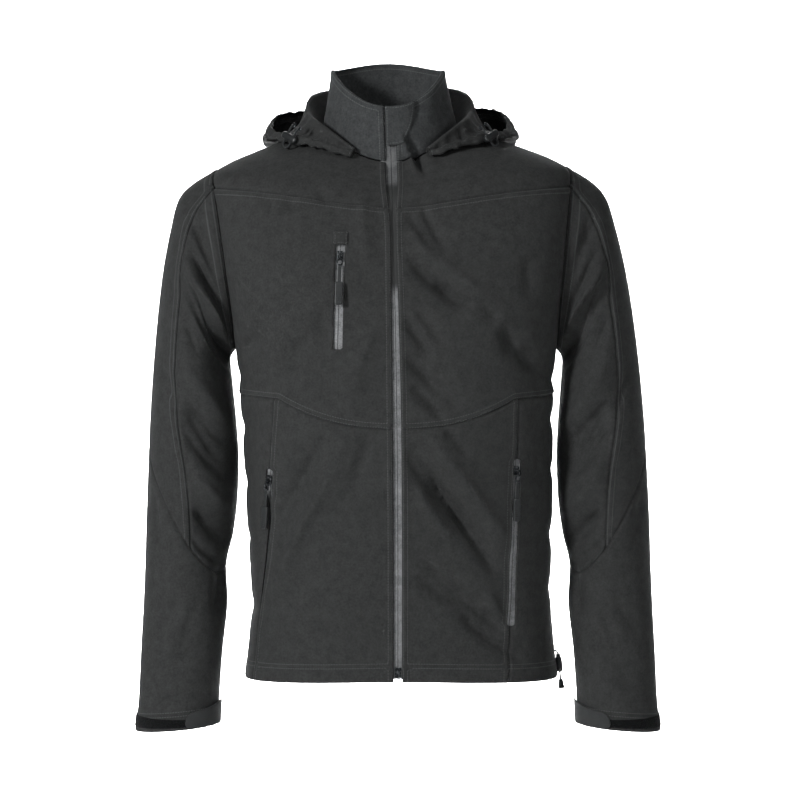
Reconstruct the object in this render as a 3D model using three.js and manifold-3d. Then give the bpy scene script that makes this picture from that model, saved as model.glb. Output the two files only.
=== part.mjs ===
// Softshell jacket for an adult, size M, filled out as if worn, with nobody in it.
// The body is cut in ten panels: front yokes, chest panels, lower fronts and side panels on both
// sides, a back yoke and a back. Each sleeve has a top panel, an under panel and a forearm with a
// curved elbow seam. A stand collar, a hood folded down behind it, a zipped front, three zipped
// pockets with pullers, elastic cords with locks, and hook-and-loop cuff tabs complete it.
// Millimetres, +Z up. The front faces -Y and the wearer's left is +X. The origin is the centre of
// the base of the neck, where the wearer's shoulders carry the jacket.

import * as THREE from "three";
import Module from "manifold-3d";
import { mergeVertices } from "three/addons/utils/BufferGeometryUtils.js";

const wasm = await Module();
wasm.setup();

// Cloth and seams
const CLOTH = 2.2; // three-layer bonded softshell with its seam allowance
const COLLAR_CLOTH = 2.8; // two layers of cloth, stitched together
const HOOD_CLOTH = 2;
const TAPE = 1; // woven zip tape
const SEAM_GAP = 0.3;
const INSET = 0.2; // how far each panel's edge stops short of its seam line
const TAPE_DEPTH = CLOTH + 0.4; // the zip tape's face below the cloth's outer face

// Heights on the body, as levels of the ring table
const HEM_LEVEL = -634;
const CHEST_SEAM_CENTRE = -332;
const CHEST_SEAM_RISE = 36; // from the front zip to the pocket seam
const CHEST_SEAM_REACH = 142;
const CHEST_SEAM_SIDE = -290; // at the side seam
const YOKE_LEVEL = -43;
const NECK_LEVEL = 45;
const COLLAR_FOOT = 46.2;
const RIM_LEVEL = 116;

// The armhole is an oval on the body's side
const ARM_TOP = -12;
const ARM_FOOT = -232;
const ARM_FRONT_DEG = 18;
const ARM_BACK_DEG = 20;
const YOKE_ARM_DEG = 45; // where the yoke seam meets the armhole, turned from its top
const SHOULDER_ARM_DEG = 0;
const SHOULDER_NECK_AZIMUTH = 80;

const DEG = Math.PI / 180;

// Sections of the body from hem to collar rim. half is the half width, front and back are the
// depths from the centre, square is the superellipse power, and the three heights are those at
// the side, the centre front and the centre back.
const RINGS = [
  { level: -634, half: 193, front: 121, back: 116, square: 2.5, sideZ: -638, frontZ: -632, backZ: -641 },
  { level: -548, half: 185, front: 120, back: 104, square: 2.5, sideZ: -549, frontZ: -548, backZ: -551 },
  { level: -450, half: 188.5, front: 121, back: 97, square: 2.5, sideZ: -450, frontZ: -450, backZ: -450 },
  { level: -350, half: 191.5, front: 127, back: 100, square: 2.5, sideZ: -350, frontZ: -350, backZ: -350 },
  { level: -260, half: 195.5, front: 134, back: 110, square: 2.6, sideZ: -260, frontZ: -262, backZ: -260 },
  { level: -200, half: 202, front: 136, back: 117, square: 2.9, sideZ: -200, frontZ: -206, backZ: -200 },
  { level: -140, half: 212, front: 132, back: 120, square: 3.2, sideZ: -140, frontZ: -150, backZ: -142 },
  { level: -90, half: 220, front: 124, back: 117, square: 3.2, sideZ: -86, frontZ: -108, backZ: -94 },
  { level: -50, half: 225, front: 115, back: 110, square: 2.9, sideZ: -41, frontZ: -74, backZ: -55 },
  { level: -22, half: 221, front: 107, back: 103, square: 2.6, sideZ: -15, frontZ: -55, backZ: -28 },
  { level: 0, half: 197, front: 99, back: 95, square: 2.3, sideZ: 1, frontZ: -42, backZ: -6 },
  { level: 15, half: 162, front: 91, back: 87, square: 2.15, sideZ: 15, frontZ: -32, backZ: 12 },
  { level: 30, half: 124, front: 83, back: 77, square: 2.05, sideZ: 28, frontZ: -22, backZ: 30 },
  { level: 45, half: 87, front: 76, back: 67, square: 2, sideZ: 41, frontZ: -11, backZ: 46 },
  { level: 56, half: 81, front: 77, back: 66, square: 2, sideZ: 53, frontZ: 3, backZ: 60 },
  { level: 85, half: 75, front: 76, back: 64, square: 2, sideZ: 82, frontZ: 28, backZ: 94 },
  { level: 116, half: 70, front: 73, back: 60, square: 2, sideZ: 112, frontZ: 57, backZ: 129 },
];

// The zip's visible half width, which the two front edges leave open.
const ZIP_OPENING = [
  { level: -634, half: 4.6 },
  { level: -300, half: 4.6 },
  { level: -180, half: 3.6 },
  { level: -70, half: 2.8 },
  { level: 0, half: 6.2 },
  { level: 45, half: 6.6 },
  { level: 116, half: 6.6 },
];

// Sections of a sleeve below the armhole. out and in are the outer and inner edges in the front
// view, depth is the half depth front to back, and midY is the centre's place front to back.
const SLEEVE_RINGS = [
  { outX: 246, outZ: -26, inX: 204.5, inZ: -241, depth: 74, midY: 4 },
  { outX: 265, outZ: -48, inX: 206.5, inZ: -249, depth: 76, midY: 5 },
  { outX: 276, outZ: -86, inX: 206, inZ: -259, depth: 76, midY: 6 },
  { outX: 286, outZ: -132, inX: 204.5, inZ: -274, depth: 75, midY: 7 },
  { outX: 294, outZ: -186, inX: 202.5, inZ: -296, depth: 73, midY: 7 },
  { outX: 301, outZ: -252, inX: 199.5, inZ: -330, depth: 70, midY: 6 },
  { outX: 306, outZ: -318, inX: 197.5, inZ: -372, depth: 67, midY: 4 },
  { outX: 309, outZ: -384, inX: 199, inZ: -420, depth: 64, midY: 1 },
  { outX: 311, outZ: -444, inX: 204, inZ: -462, depth: 61, midY: -3 },
  { outX: 312, outZ: -500, inX: 212, inZ: -500, depth: 58, midY: -9 },
  { outX: 313.5, outZ: -556, inX: 210, inZ: -548, depth: 54, midY: -17 },
  { outX: 315.5, outZ: -610, inX: 215, inZ: -602, depth: 50, midY: -26 },
  { outX: 317, outZ: -662, inX: 218, inZ: -652, depth: 46, midY: -34 },
  { outX: 320.5, outZ: -700, inX: 219.5, inZ: -692, depth: 42, midY: -40 },
];
const SLEEVE_END = SLEEVE_RINGS.length;
const SLEEVE_LIFT = 0.5; // the sleeve head stands this proud of the body's armhole
const SLEEVE_BACK_SEAM = 255;
const SLEEVE_FRONT_SEAM_FOOT = 100;

// The sleeve's front seam, as a turn from the sleeve's outer edge, by its share of the way from
// the armhole to the elbow seam.
const SLEEVE_FRONT_SEAM = [
  { share: 0, turn: YOKE_ARM_DEG },
  { share: 0.25, turn: 59 },
  { share: 0.45, turn: 66 },
  { share: 0.68, turn: 70 },
  { share: 0.82, turn: 87 },
  { share: 1, turn: SLEEVE_FRONT_SEAM_FOOT },
];

// The elbow seam's height on the sleeve, in sections, rises to a peak at the back of the elbow.
const ELBOW_SEAM_MIDDLE = 8.8;
const ELBOW_SEAM_SWING = 1.4;
const ELBOW_SEAM_PEAK_DEG = -20;

// The body's small departures from symmetry: the neck and shoulders sit a little towards the
// wearer's right, the hem towards the left, and the right shoulder hangs lower.
const LEAN = { side: -13, fromZ: -500, reach: 620 };
const HEM_SHIFT = { side: 4, fromZ: -300, reach: 250 };
const SHOULDER_DROP = { depth: 4, level: -8, spread: 40 };

// The largest folds in the front view, in millimetres. A fold runs from one point to the other.
// Negative depth is a trough. Those of the body are at their own X, those of the sleeves at the
// distance from the middle.
const BODY_FOLDS = [
  { fromX: 8, fromZ: -132, toX: 104, toZ: -206, width: 17, depth: -4 },
  { fromX: 30, fromZ: -118, toX: 128, toZ: -196, width: 17, depth: 2.5 },
  { fromX: 4, fromZ: -240, toX: 84, toZ: -322, width: 16, depth: -3 },
  { fromX: 122, fromZ: -212, toX: 176, toZ: -276, width: 15, depth: -5 },
  { fromX: 6, fromZ: -338, toX: 134, toZ: -522, width: 19, depth: -6.5 },
  { fromX: 32, fromZ: -330, toX: 156, toZ: -500, width: 18, depth: 4 },
  { fromX: 12, fromZ: -478, toX: 166, toZ: -606, width: 18, depth: -5 },
  { fromX: -54, fromZ: -326, toX: -172, toZ: -574, width: 18, depth: 5 },
  { fromX: -78, fromZ: -330, toX: -170, toZ: -480, width: 17, depth: -4.5 },
  { fromX: -110, fromZ: -214, toX: -130, toZ: -290, width: 16, depth: -3 },
];
const SLEEVE_FOLDS = [
  { fromX: 252, fromZ: -66, toX: 198, toZ: -186, width: 15, depth: -5 },
  { fromX: 258, fromZ: -112, toX: 196, toZ: -240, width: 15, depth: 4 },
  { fromX: 262, fromZ: -150, toX: 194, toZ: -288, width: 15, depth: -5 },
  { fromX: 262, fromZ: -240, toX: 196, toZ: -352, width: 16, depth: 4 },
  { fromX: 264, fromZ: -300, toX: 198, toZ: -392, width: 16, depth: -5 },
  { fromX: 256, fromZ: -372, toX: 200, toZ: -446, width: 15, depth: 4.5 },
  { fromX: 252, fromZ: -424, toX: 202, toZ: -486, width: 14, depth: -4 },
];

// Sections of the hood, folded down, by azimuth from the centre front. Each point is so far down
// along the body from the neck seam (Run) and so high off it (Up), all in millimetres: the crest
// beside the collar, which also stands straight up (Rise), the floor and bottom of the pouch, the
// belly of its outer wall, and the rim.
const HOOD_COLUMNS = [
  "azimuth", "crestRun", "crestUp", "crestRise", "floorRun", "floorUp",
  "bottomRun", "bottomUp", "bellyRun", "bellyUp", "rimRun", "rimUp",
];
const HOOD_SECTIONS = [
  [33, 3, 9, 0, 6, 5, 9, 5, 13, 6.5, 12, 11],
  [52, 4, 15, 0, 14, 5, 22, 5, 29, 8, 28, 16],
  [72, 5, 22, 0, 25, 5, 39, 5, 52, 11, 45, 26],
  [90, 5, 28, 0, 34, 5, 51, 5.5, 67, 15, 56, 34],
  [118, 5, 48, 9, 48, 5, 76, 7, 90, 28, 44, 64],
  [146, 5, 55, 26, 62, 5, 104, 9, 104, 44, 12, 87],
  [180, 5, 40, 32, 72, 5, 126, 11, 110, 50, 8, 80],
].map((row) => Object.fromEntries(row.map((value, k) => [HOOD_COLUMNS[k], value])));
const HOOD_FRONT = 33;
const HOOD_SIDE_SEAM = 146;
// The rim hangs lower over each shoulder.
const HOOD_SAG = { left: 16, right: 15, azimuth: 82, spread: 20 };

// The collar's chin guard, by its width at the rim and at its foot, and how far it runs past the zip
const CHIN = { reach: 31, foot: 11, past: -5.6, bottom: 62, thick: 1.6, cells: 5 };

// Cuffs: the loop strip on the sleeve's front, and the tab that closes over its end. Columns and
// rows count on the forearm's grid, from its back seam and from its elbow seam.
const STRIP = { columns: [3, 4, 5, 6, 7, 8, 9, 10, 11], rows: [6.34, 6.76], thick: 1, lift: 0.5 };
const TAB = { columns: [10.5, 11, 12, 13, 14, 15, 16, 17, 18], rows: [5.6, 6, 6.88], thick: 1.6, lift: 1.9 };

// Pockets: the zip windows, by their ends in the front view, and how far below its top each
// slider is parked.
const WINDOW_HALF = 5.5;
const WINDOW_PAST_TAPE = 3; // how far the tape runs on under the cloth at each end
const CHEST_POCKET = { name: "chest", side: -1, topX: 62, topZ: -99, footX: 69, footZ: -238, parked: 28 };
const HAND_POCKETS = [
  { name: "hand_left", side: 1, topX: 142, topZ: -368, footX: 132.5, footZ: -568, parked: 14 },
  { name: "hand_right", side: -1, topX: 154.5, topZ: -379, footX: 173, footZ: -570, parked: 14 },
];
const GARAGE = { width: 18, length: 17, below: 7, thick: 1.2 }; // the patch over the chest zip's head

// The front zip: its slider is parked at its head, under the chin guard, and the box at its foot
// holds the two halves together.
const FRONT_ZIP = { half: 13, depth: COLLAR_CLOTH + 0.6, aboveHem: 4, belowRim: 3 };
const FRONT_SLIDER = { level: 96, width: 9, length: 12, thick: 2.2, corner: 2 };
const FRONT_TAB = { width: 6, length: 18, thick: 1.6, corner: 1.5, below: 12 };
const FRONT_BOX = { level: HEM_LEVEL + 12, width: 7.6, length: 12, thick: 2, corner: 1 };
const METAL_GAP = 0.35; // from the tape's face to the metal that rides on it

// Pocket zips' sliders and pullers
const SLIDER = { width: 7.6, length: 11, height: 2.8, corner: 2.2, seat: 0.3 };
const PIN_RADIUS = 0.6;
const PIN_UP = 5.6;
const POST = { inner: 1.5, outer: 2.5, length: 2.6, top: PIN_UP + 1 };
const EYE = { outer: 1.9, bore: 1.05, width: 2 };
const ARM = { length: 5, reach: 2.4 }; // from the eye to the ring
const LINK = { width: 7, length: 9, thick: 1.4, corner: 2.4 };
const LINK_HOLE = { width: 3.4, length: 4.4, corner: 1, below: 0.4 };
const STRAP = { width: 4.4, length: 22, thick: 1.4, corner: 1.2, inGrip: 3 };
const GRIP = { width: 9.6, length: 28, thick: 3.2, corner: 2.6 };
const LINK_TOP = -EYE.outer - ARM.reach; // below the pin

// Elastic cords and their locks
const HOOD_LOCK = { share: 0.9, length: 26, width: 9, thick: 6.4, spread: 5.6, up: 3.4 };
const HOOD_LOCK_AZIMUTH = 68;
const HEM_LOCK = { level: -620, length: 18, width: 10.5, thick: 8, corner: 3, up: 4.4, drop: 25 };
const HEM_LOCK_LEFT_AZIMUTH = 86;
const HEM_LOCK_RIGHT_AZIMUTH = 240;
const BELL = { length: 11, neck: 3, mouth: 4.4, grip: 6 };
const CORD_RADIUS = 1.25;
const CORD_BORE = 1.75;
const CORD_SIDES = 8;

const COLOURS = {
  shell: 0x2e3131,
  collar: 0x3a3d3e,
  zip: 0x5c5e60,
  metal: 0x3b3d3f,
  rubber: 0x222526,
  loop: 0x191b1c,
};
const FINISHES = {
  shell: { roughness: 0.85, metalness: 0 },
  collar: { roughness: 0.85, metalness: 0 },
  zip: { roughness: 0.5, metalness: 0 },
  metal: { roughness: 0.35, metalness: 0.9 },
  rubber: { roughness: 0.45, metalness: 0 },
  loop: { roughness: 0.95, metalness: 0 },
};

const jacket = new THREE.Group();

function add(name, geometry, finish, parent = jacket) {
  const material = new THREE.MeshStandardMaterial({ color: COLOURS[finish], ...FINISHES[finish] });
  const mesh = new THREE.Mesh(geometry, material);
  mesh.name = name;
  parent.add(mesh);
  return mesh;
}

// Numbers and tables

const lerp = (a, b, t) => a + (b - a) * t;
const clamp01 = (t) => Math.min(1, Math.max(0, t));

function smooth(from, to, x) {
  const t = clamp01((x - from) / (to - from));
  return t * t * (3 - 2 * t);
}

// A column of a table at a key, on a cubic that passes through the rows.
function track(rows, key, column, at) {
  const last = rows.length - 1;
  let i = 0;
  while (i < last - 1 && at > rows[i + 1][key]) i += 1;
  const slope = (k) => {
    const before = rows[Math.max(k - 1, 0)];
    const after = rows[Math.min(k + 1, last)];
    return (after[column] - before[column]) / (after[key] - before[key]);
  };
  const span = rows[i + 1][key] - rows[i][key];
  const t = clamp01((at - rows[i][key]) / span);
  const rise = t * t * (3 - 2 * t);
  const leave = t * (1 - t) * (1 - t) * span * slope(i);
  const arrive = t * t * (t - 1) * span * slope(i + 1);
  return lerp(rows[i][column], rows[i + 1][column], rise) + leave + arrive;
}

function foldHeight(folds, x, z) {
  let height = 0;
  for (const f of folds) {
    const runX = f.toX - f.fromX;
    const runZ = f.toZ - f.fromZ;
    const length = Math.hypot(runX, runZ);
    const along = ((x - f.fromX) * runX + (z - f.fromZ) * runZ) / (length * length);
    const aside = ((x - f.fromX) * runZ - (z - f.fromZ) * runX) / length;
    const ends = smooth(0, 0.3, along) * smooth(1, 0.6, along);
    height += f.depth * ends * Math.exp(-((aside / f.width) ** 2));
  }
  return height;
}

// The body

const lean = (z) => LEAN.side * clamp01((z - LEAN.fromZ) / LEAN.reach) ** 2;
const hemShift = (z) => HEM_SHIFT.side * clamp01((HEM_SHIFT.fromZ - z) / HEM_SHIFT.reach);

function shoulderDrop(level, sine) {
  const off = (level - SHOULDER_DROP.level) / SHOULDER_DROP.spread;
  return SHOULDER_DROP.depth * clamp01(-sine) * Math.exp(-(off ** 2));
}

function bodyBase(azimuth, level) {
  const at = (column) => track(RINGS, "level", column, level);
  const s = Math.sin(azimuth * DEG);
  const c = Math.cos(azimuth * DEG);
  const isFront = c > 0;
  const square = at("square");
  const depth = isFront ? at("front") : at("back");
  const reach =
    1 / ((Math.abs(s) / at("half")) ** square + (Math.abs(c) / depth) ** square) ** (1 / square);
  const sideZ = at("sideZ");
  const z = lerp(sideZ, isFront ? at("frontZ") : at("backZ"), Math.abs(c) ** 1.6) - shoulderDrop(level, s);
  return new THREE.Vector3(reach * s + lean(z) + hemShift(z) * s * s, -reach * c, z);
}

// The outward normal of a surface of two parameters, from the points beside the given one.
function normalOf(surface, a, b, stepA, stepB, outward) {
  const acrossA = surface(a + stepA, b).sub(surface(a - stepA, b));
  const acrossB = surface(a, b + stepB).sub(surface(a, b - stepB));
  const normal = acrossA.cross(acrossB).normalize();
  return normal.dot(outward) < 0 ? normal.negate() : normal;
}

function bodyNormal(azimuth, level) {
  const outward = new THREE.Vector3(Math.sin(azimuth * DEG), -Math.cos(azimuth * DEG), 0.3);
  return normalOf(bodyBase, azimuth, level, 1, 1, outward);
}

function bodyPoint(azimuth, level) {
  const point = bodyBase(azimuth, level);
  const normal = bodyNormal(azimuth, level);
  const facing = smooth(0.15, 0.6, Math.cos(azimuth * DEG));
  const height = facing * foldHeight(BODY_FOLDS, point.x, point.z);
  return { point: point.addScaledVector(normal, height), normal };
}

// The azimuth of a point of the front at a given distance from the middle.
function azimuthAt(level, x) {
  const half = track(RINGS, "level", "half", level);
  const square = track(RINGS, "level", "square", level);
  const front = track(RINGS, "level", "front", level);
  const y = front * (1 - (Math.abs(x) / half) ** square) ** (1 / square);
  return Math.atan2(x, y) / DEG;
}

const zipAzimuth = (level) => azimuthAt(level, track(ZIP_OPENING, "level", "half", level));

function armhole(turn) {
  const swing = Math.sin(turn * DEG) > 0 ? ARM_FRONT_DEG : ARM_BACK_DEG;
  const level = lerp(ARM_FOOT, ARM_TOP, (1 + Math.cos(turn * DEG)) / 2);
  return [90 - swing * Math.sin(turn * DEG), level];
}

// The sleeves

function sleeveRingPoint(k, turn) {
  const ring = SLEEVE_RINGS[Math.min(k, SLEEVE_END) - 1];
  const c = Math.cos(turn * DEG);
  const x = (ring.outX + ring.inX) / 2 + ((ring.outX - ring.inX) / 2) * c;
  const z = (ring.outZ + ring.inZ) / 2 + ((ring.outZ - ring.inZ) / 2) * c;
  return new THREE.Vector3(x, ring.midY - ring.depth * Math.sin(turn * DEG), z);
}

// A sleeve's rings follow each other on a cubic, from the armhole's own curve down to the cuff.
function sleeveBase(side, turn, t) {
  const knot = (k) => {
    if (k > 0) {
      const { x, y, z } = sleeveRingPoint(k, turn);
      return new THREE.Vector3(side * x + lean(z), y, z - shoulderDrop(z, side));
    }
    const [azimuth, level] = armhole(turn);
    return bodyBase(side * azimuth, level).addScaledVector(bodyNormal(side * azimuth, level), SLEEVE_LIFT);
  };
  const k = Math.min(Math.max(Math.floor(t), 0), SLEEVE_END - 1);
  const f = t - k;
  const [p0, p1, p2, p3] = [Math.max(k - 1, 0), k, k + 1, Math.min(k + 2, SLEEVE_END)].map(knot);
  const point = new THREE.Vector3();
  for (const axis of ["x", "y", "z"]) {
    const leave = (p2[axis] - p0[axis]) / 2;
    const arrive = (p3[axis] - p1[axis]) / 2;
    const rise = f * f * (3 - 2 * f);
    point[axis] = lerp(p1[axis], p2[axis], rise) + f * (1 - f) * (1 - f) * leave + f * f * (f - 1) * arrive;
  }
  return point;
}

function sleevePoint(side, turn, t) {
  const surface = (a, b) => sleeveBase(side, a, Math.min(Math.max(b, 0), SLEEVE_END));
  const point = surface(turn, t);
  const outward = point.clone().sub(surface(turn + 180, t));
  const normal = normalOf(surface, turn, t, 2, 0.05, outward);
  if (t < 1e-6) {
    const [azimuth, level] = armhole(turn);
    normal.add(bodyNormal(side * azimuth, level)).normalize();
  }
  const facing = smooth(0.1, 0.7, Math.abs(Math.sin(turn * DEG))) * smooth(0.2, 1.6, t);
  const height = facing * foldHeight(SLEEVE_FOLDS, side * (point.x - lean(point.z)), point.z);
  return { point: point.addScaledVector(normal, height), normal };
}

const elbowSeam = (turn) =>
  ELBOW_SEAM_MIDDLE - ELBOW_SEAM_SWING * Math.cos((turn - ELBOW_SEAM_PEAK_DEG) * DEG);

const frontSeamTurn = (share) => track(SLEEVE_FRONT_SEAM, "share", "turn", share);

// Walls

// A grid of {point, normal} on a surface, over a four-sided patch of its two parameters. The four
// edges are functions from 0 to 1, and the inside is blended from them.
function patch(surface, { left, right, foot, top }, across, up) {
  const corner = [left(0), right(0), left(1), right(1)];
  const grid = [];
  for (let j = 0; j <= up; j += 1) {
    const v = j / up;
    const row = [];
    for (let i = 0; i <= across; i += 1) {
      const u = i / across;
      const at = [0, 1].map((k) => {
        const sides = lerp(left(v)[k], right(v)[k], u);
        const ends = lerp(foot(u)[k], top(u)[k], v);
        const corners = lerp(lerp(corner[0][k], corner[1][k], u), lerp(corner[2][k], corner[3][k], u), v);
        return sides + ends - corners;
      });
      row.push(surface(...at));
    }
    grid.push(row);
  }
  return grid;
}

// The same grid with its outermost points moved inwards, square to the edge, so that neighbours
// stay a gap apart.
function insetEdges(grid, inset, closed) {
  const moved = grid.map((row) => row.map(({ point, normal }) => ({ point: point.clone(), normal })));
  const last = grid.length - 1;
  const end = grid[0].length - 1;
  const pull = (j, i, inner, before, after) => {
    const { point, normal } = grid[j][i];
    const way = after.point.clone().sub(before.point).cross(normal).normalize();
    if (way.dot(inner.point.clone().sub(point)) < 0) way.negate();
    moved[j][i].point.addScaledVector(way, inset);
  };
  for (let i = 0; i <= end; i += 1) {
    const before = closed ? (i + end) % (end + 1) : Math.max(i - 1, 0);
    const after = closed ? (i + 1) % (end + 1) : Math.min(i + 1, end);
    pull(0, i, grid[1][i], grid[0][before], grid[0][after]);
    pull(last, i, grid[last - 1][i], grid[last][before], grid[last][after]);
  }
  for (let j = 0; j <= last && !closed; j += 1) {
    const before = grid[Math.max(j - 1, 0)];
    const after = grid[Math.min(j + 1, last)];
    pull(j, 0, grid[j][1], before[0], after[0]);
    pull(j, end, grid[j][end - 1], before[end], after[end]);
  }
  return moved;
}

// A point and direction between a grid's own, at a fractional column and row.
function between(grid, column, row) {
  const i = Math.min(Math.floor(column), grid[0].length - 2);
  const j = Math.min(Math.floor(row), grid.length - 2);
  const mix = (key) => {
    const foot = grid[j][i][key].clone().lerp(grid[j][i + 1][key], column - i);
    const top = grid[j + 1][i][key].clone().lerp(grid[j + 1][i + 1][key], column - i);
    return foot.lerp(top, row - j);
  };
  return { point: mix("point"), normal: mix("normal") };
}

// A wall of cloth: the grid's points lifted along their normals, and again one thickness lower,
// joined round the edges. A closed grid's rows join end to start.
function wall(grid, { thick = CLOTH, lift = 0, closed = false, inset = INSET } = {}) {
  const cells = insetEdges(grid, inset, closed).flat();
  const rows = grid.length;
  const columns = grid[0].length;
  const positions = [];
  for (const depth of [lift, lift - thick]) {
    for (const cell of cells) {
      positions.push(...cell.point.clone().addScaledVector(cell.normal, depth).toArray());
    }
  }
  const at = (layer, j, i) => (layer * rows + j) * columns + (i % columns);
  const faces = [];
  const quad = (a, b, c, d) => faces.push(a, b, c, a, c, d);
  const across = closed ? columns : columns - 1;
  for (let j = 0; j < rows - 1; j += 1) {
    for (let i = 0; i < across; i += 1) {
      quad(at(0, j, i), at(0, j, i + 1), at(0, j + 1, i + 1), at(0, j + 1, i));
      quad(at(1, j, i), at(1, j + 1, i), at(1, j + 1, i + 1), at(1, j, i + 1));
    }
  }
  for (let i = 0; i < across; i += 1) {
    quad(at(0, 0, i), at(1, 0, i), at(1, 0, i + 1), at(0, 0, i + 1));
    quad(at(0, rows - 1, i), at(0, rows - 1, i + 1), at(1, rows - 1, i + 1), at(1, rows - 1, i));
  }
  if (!closed) {
    for (let j = 0; j < rows - 1; j += 1) {
      quad(at(0, j, 0), at(0, j + 1, 0), at(1, j + 1, 0), at(1, j, 0));
      quad(at(0, j, across), at(1, j, across), at(1, j + 1, across), at(0, j + 1, across));
    }
  }
  return facingOut(positions, faces);
}

// An indexed geometry whose faces are turned outwards, whichever way the grid ran.
function facingOut(positions, faces) {
  let volume = 0;
  const corner = (n) => new THREE.Vector3().fromArray(positions, 3 * n);
  for (let i = 0; i < faces.length; i += 3) {
    volume += corner(faces[i]).dot(corner(faces[i + 1]).cross(corner(faces[i + 2])));
  }
  if (volume < 0) {
    for (let i = 0; i < faces.length; i += 3) {
      [faces[i], faces[i + 1]] = [faces[i + 1], faces[i]];
    }
  }
  const geometry = new THREE.BufferGeometry();
  geometry.setAttribute("position", new THREE.Float32BufferAttribute(positions, 3));
  geometry.setIndex(faces);
  return geometry;
}

// Solids, for cuts and joins

function toSolid(geometry) {
  const bare = geometry.clone();
  bare.deleteAttribute("normal");
  bare.deleteAttribute("uv");
  const merged = mergeVertices(bare, 1e-3);
  return new wasm.Manifold(
    new wasm.Mesh({
      numProp: 3,
      vertProperties: merged.attributes.position.array,
      triVerts: new Uint32Array(merged.index.array),
    }),
  );
}

function fromSolid(solid) {
  const mesh = solid.getMesh();
  const geometry = new THREE.BufferGeometry();
  geometry.setAttribute("position", new THREE.BufferAttribute(Float32Array.from(mesh.vertProperties), 3));
  geometry.setIndex(new THREE.BufferAttribute(Uint32Array.from(mesh.triVerts), 1));
  return geometry;
}

const cut = (geometry, tools) =>
  fromSolid(tools.reduce((solid, tool) => solid.subtract(toSolid(tool)), toSolid(geometry)));

const join = (...pieces) => fromSolid(pieces.map(toSolid).reduce((a, b) => a.add(b)));

function rodAlong(axis, radius, length, sides = 10) {
  const rod = new THREE.CylinderGeometry(radius, radius, length, sides);
  if (axis === "x") rod.rotateZ(Math.PI / 2);
  if (axis === "z") rod.rotateX(Math.PI / 2);
  return rod;
}

// A flat plate with rounded corners, in the XY plane, centred, its thickness along Z.
function plate(width, length, thick, corner) {
  const shape = new THREE.Shape();
  const x = width / 2 - corner;
  const y = length / 2 - corner;
  shape.absarc(x, y, corner, 0, Math.PI / 2);
  shape.absarc(-x, y, corner, Math.PI / 2, Math.PI);
  shape.absarc(-x, -y, corner, Math.PI, 1.5 * Math.PI);
  shape.absarc(x, -y, corner, 1.5 * Math.PI, 2 * Math.PI);
  const slab = new THREE.ExtrudeGeometry(shape, { depth: thick, bevelEnabled: false, curveSegments: 3 });
  return slab.translate(0, 0, -thick / 2);
}

// Pocket windows

const pocketX = (pocket, z) =>
  lerp(pocket.footX, pocket.topX, (z - pocket.footZ) / (pocket.topZ - pocket.footZ));

// The body's level whose front point at this distance from the middle has this height.
function levelAt(x, z) {
  let level = z;
  for (let step = 0; step < 6; step += 1) {
    level += z - bodyBase(azimuthAt(level, x), level).z;
  }
  return level;
}

function pocketPoint(pocket, z) {
  const x = pocketX(pocket, z);
  const level = levelAt(x, z);
  return bodyPoint(pocket.side * azimuthAt(level, x), level);
}

// A frame on the cloth at a height of a pocket's zip: X across it, Y up along it, Z outwards.
function pocketFrame(pocket, z, reach, depth) {
  const { point, normal } = pocketPoint(pocket, z);
  const up = pocketPoint(pocket, z + reach).point.sub(pocketPoint(pocket, z - reach).point);
  up.addScaledVector(normal, -up.dot(normal)).normalize();
  const across = up.clone().cross(normal);
  const frame = new THREE.Matrix4().makeBasis(across, up, normal);
  return frame.setPosition(point.addScaledVector(normal, depth));
}

// A prism through the cloth over a pocket's window, a margin wider and longer than the window.
function windowPrism(pocket, margin) {
  const middle = (pocket.topZ + pocket.footZ) / 2;
  const length = pocket.topZ - pocket.footZ;
  const prism = plate(2 * (WINDOW_HALF + margin), length + 2 * margin, 60, 2);
  return prism.applyMatrix4(pocketFrame(pocket, middle, length / 2, 0));
}

// The zip's tape behind a window, which lies along the panels' own facets, one gap below them.
function pocketTape(pocket, grids) {
  const layers = grids.map((grid) => toSolid(wall(grid, { thick: TAPE, lift: -TAPE_DEPTH, inset: 0 })));
  const strip = toSolid(windowPrism(pocket, WINDOW_PAST_TAPE));
  return fromSolid(layers.reduce((a, b) => a.add(b)).intersect(strip));
}

// The seam that runs through each hand pocket, from the chest seam to the hem, and the zip's edge
const seamAzimuth = (pocket, level) => azimuthAt(level, pocketX(pocket, level));
const chestSeamLevel = (x) => CHEST_SEAM_CENTRE + CHEST_SEAM_RISE * Math.min(1, x / CHEST_SEAM_REACH) ** 2.4;

// Grid cells of the panels: shared by neighbours, so that their points meet at the seams
const LOWER_ACROSS = 8;
const SIDE_ACROSS = 4;
const FRONT_ACROSS = LOWER_ACROSS + SIDE_ACROSS;
const LOWER_UP = 12;
const SIDE_SEAM_UP = 2;
const ARM_CELL_DEG = 15;
const BODY_ARM_CELLS = (180 - YOKE_ARM_DEG) / ARM_CELL_DEG;
const YOKE_ARM_CELLS = (YOKE_ARM_DEG - SHOULDER_ARM_DEG) / ARM_CELL_DEG;
const SHOULDER_CELLS = 3;
const BACK_ACROSS = 12;

// An edge that runs along several stretches in turn, each over its own number of cells.
function chain(stretches) {
  const total = stretches.reduce((sum, s) => sum + s.cells, 0);
  return (v) => {
    let cell = v * total;
    for (const s of stretches) {
      if (cell <= s.cells + 1e-9 || s === stretches[stretches.length - 1]) return s.at(cell / s.cells);
      cell -= s.cells;
    }
    return null;
  };
}

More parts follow.
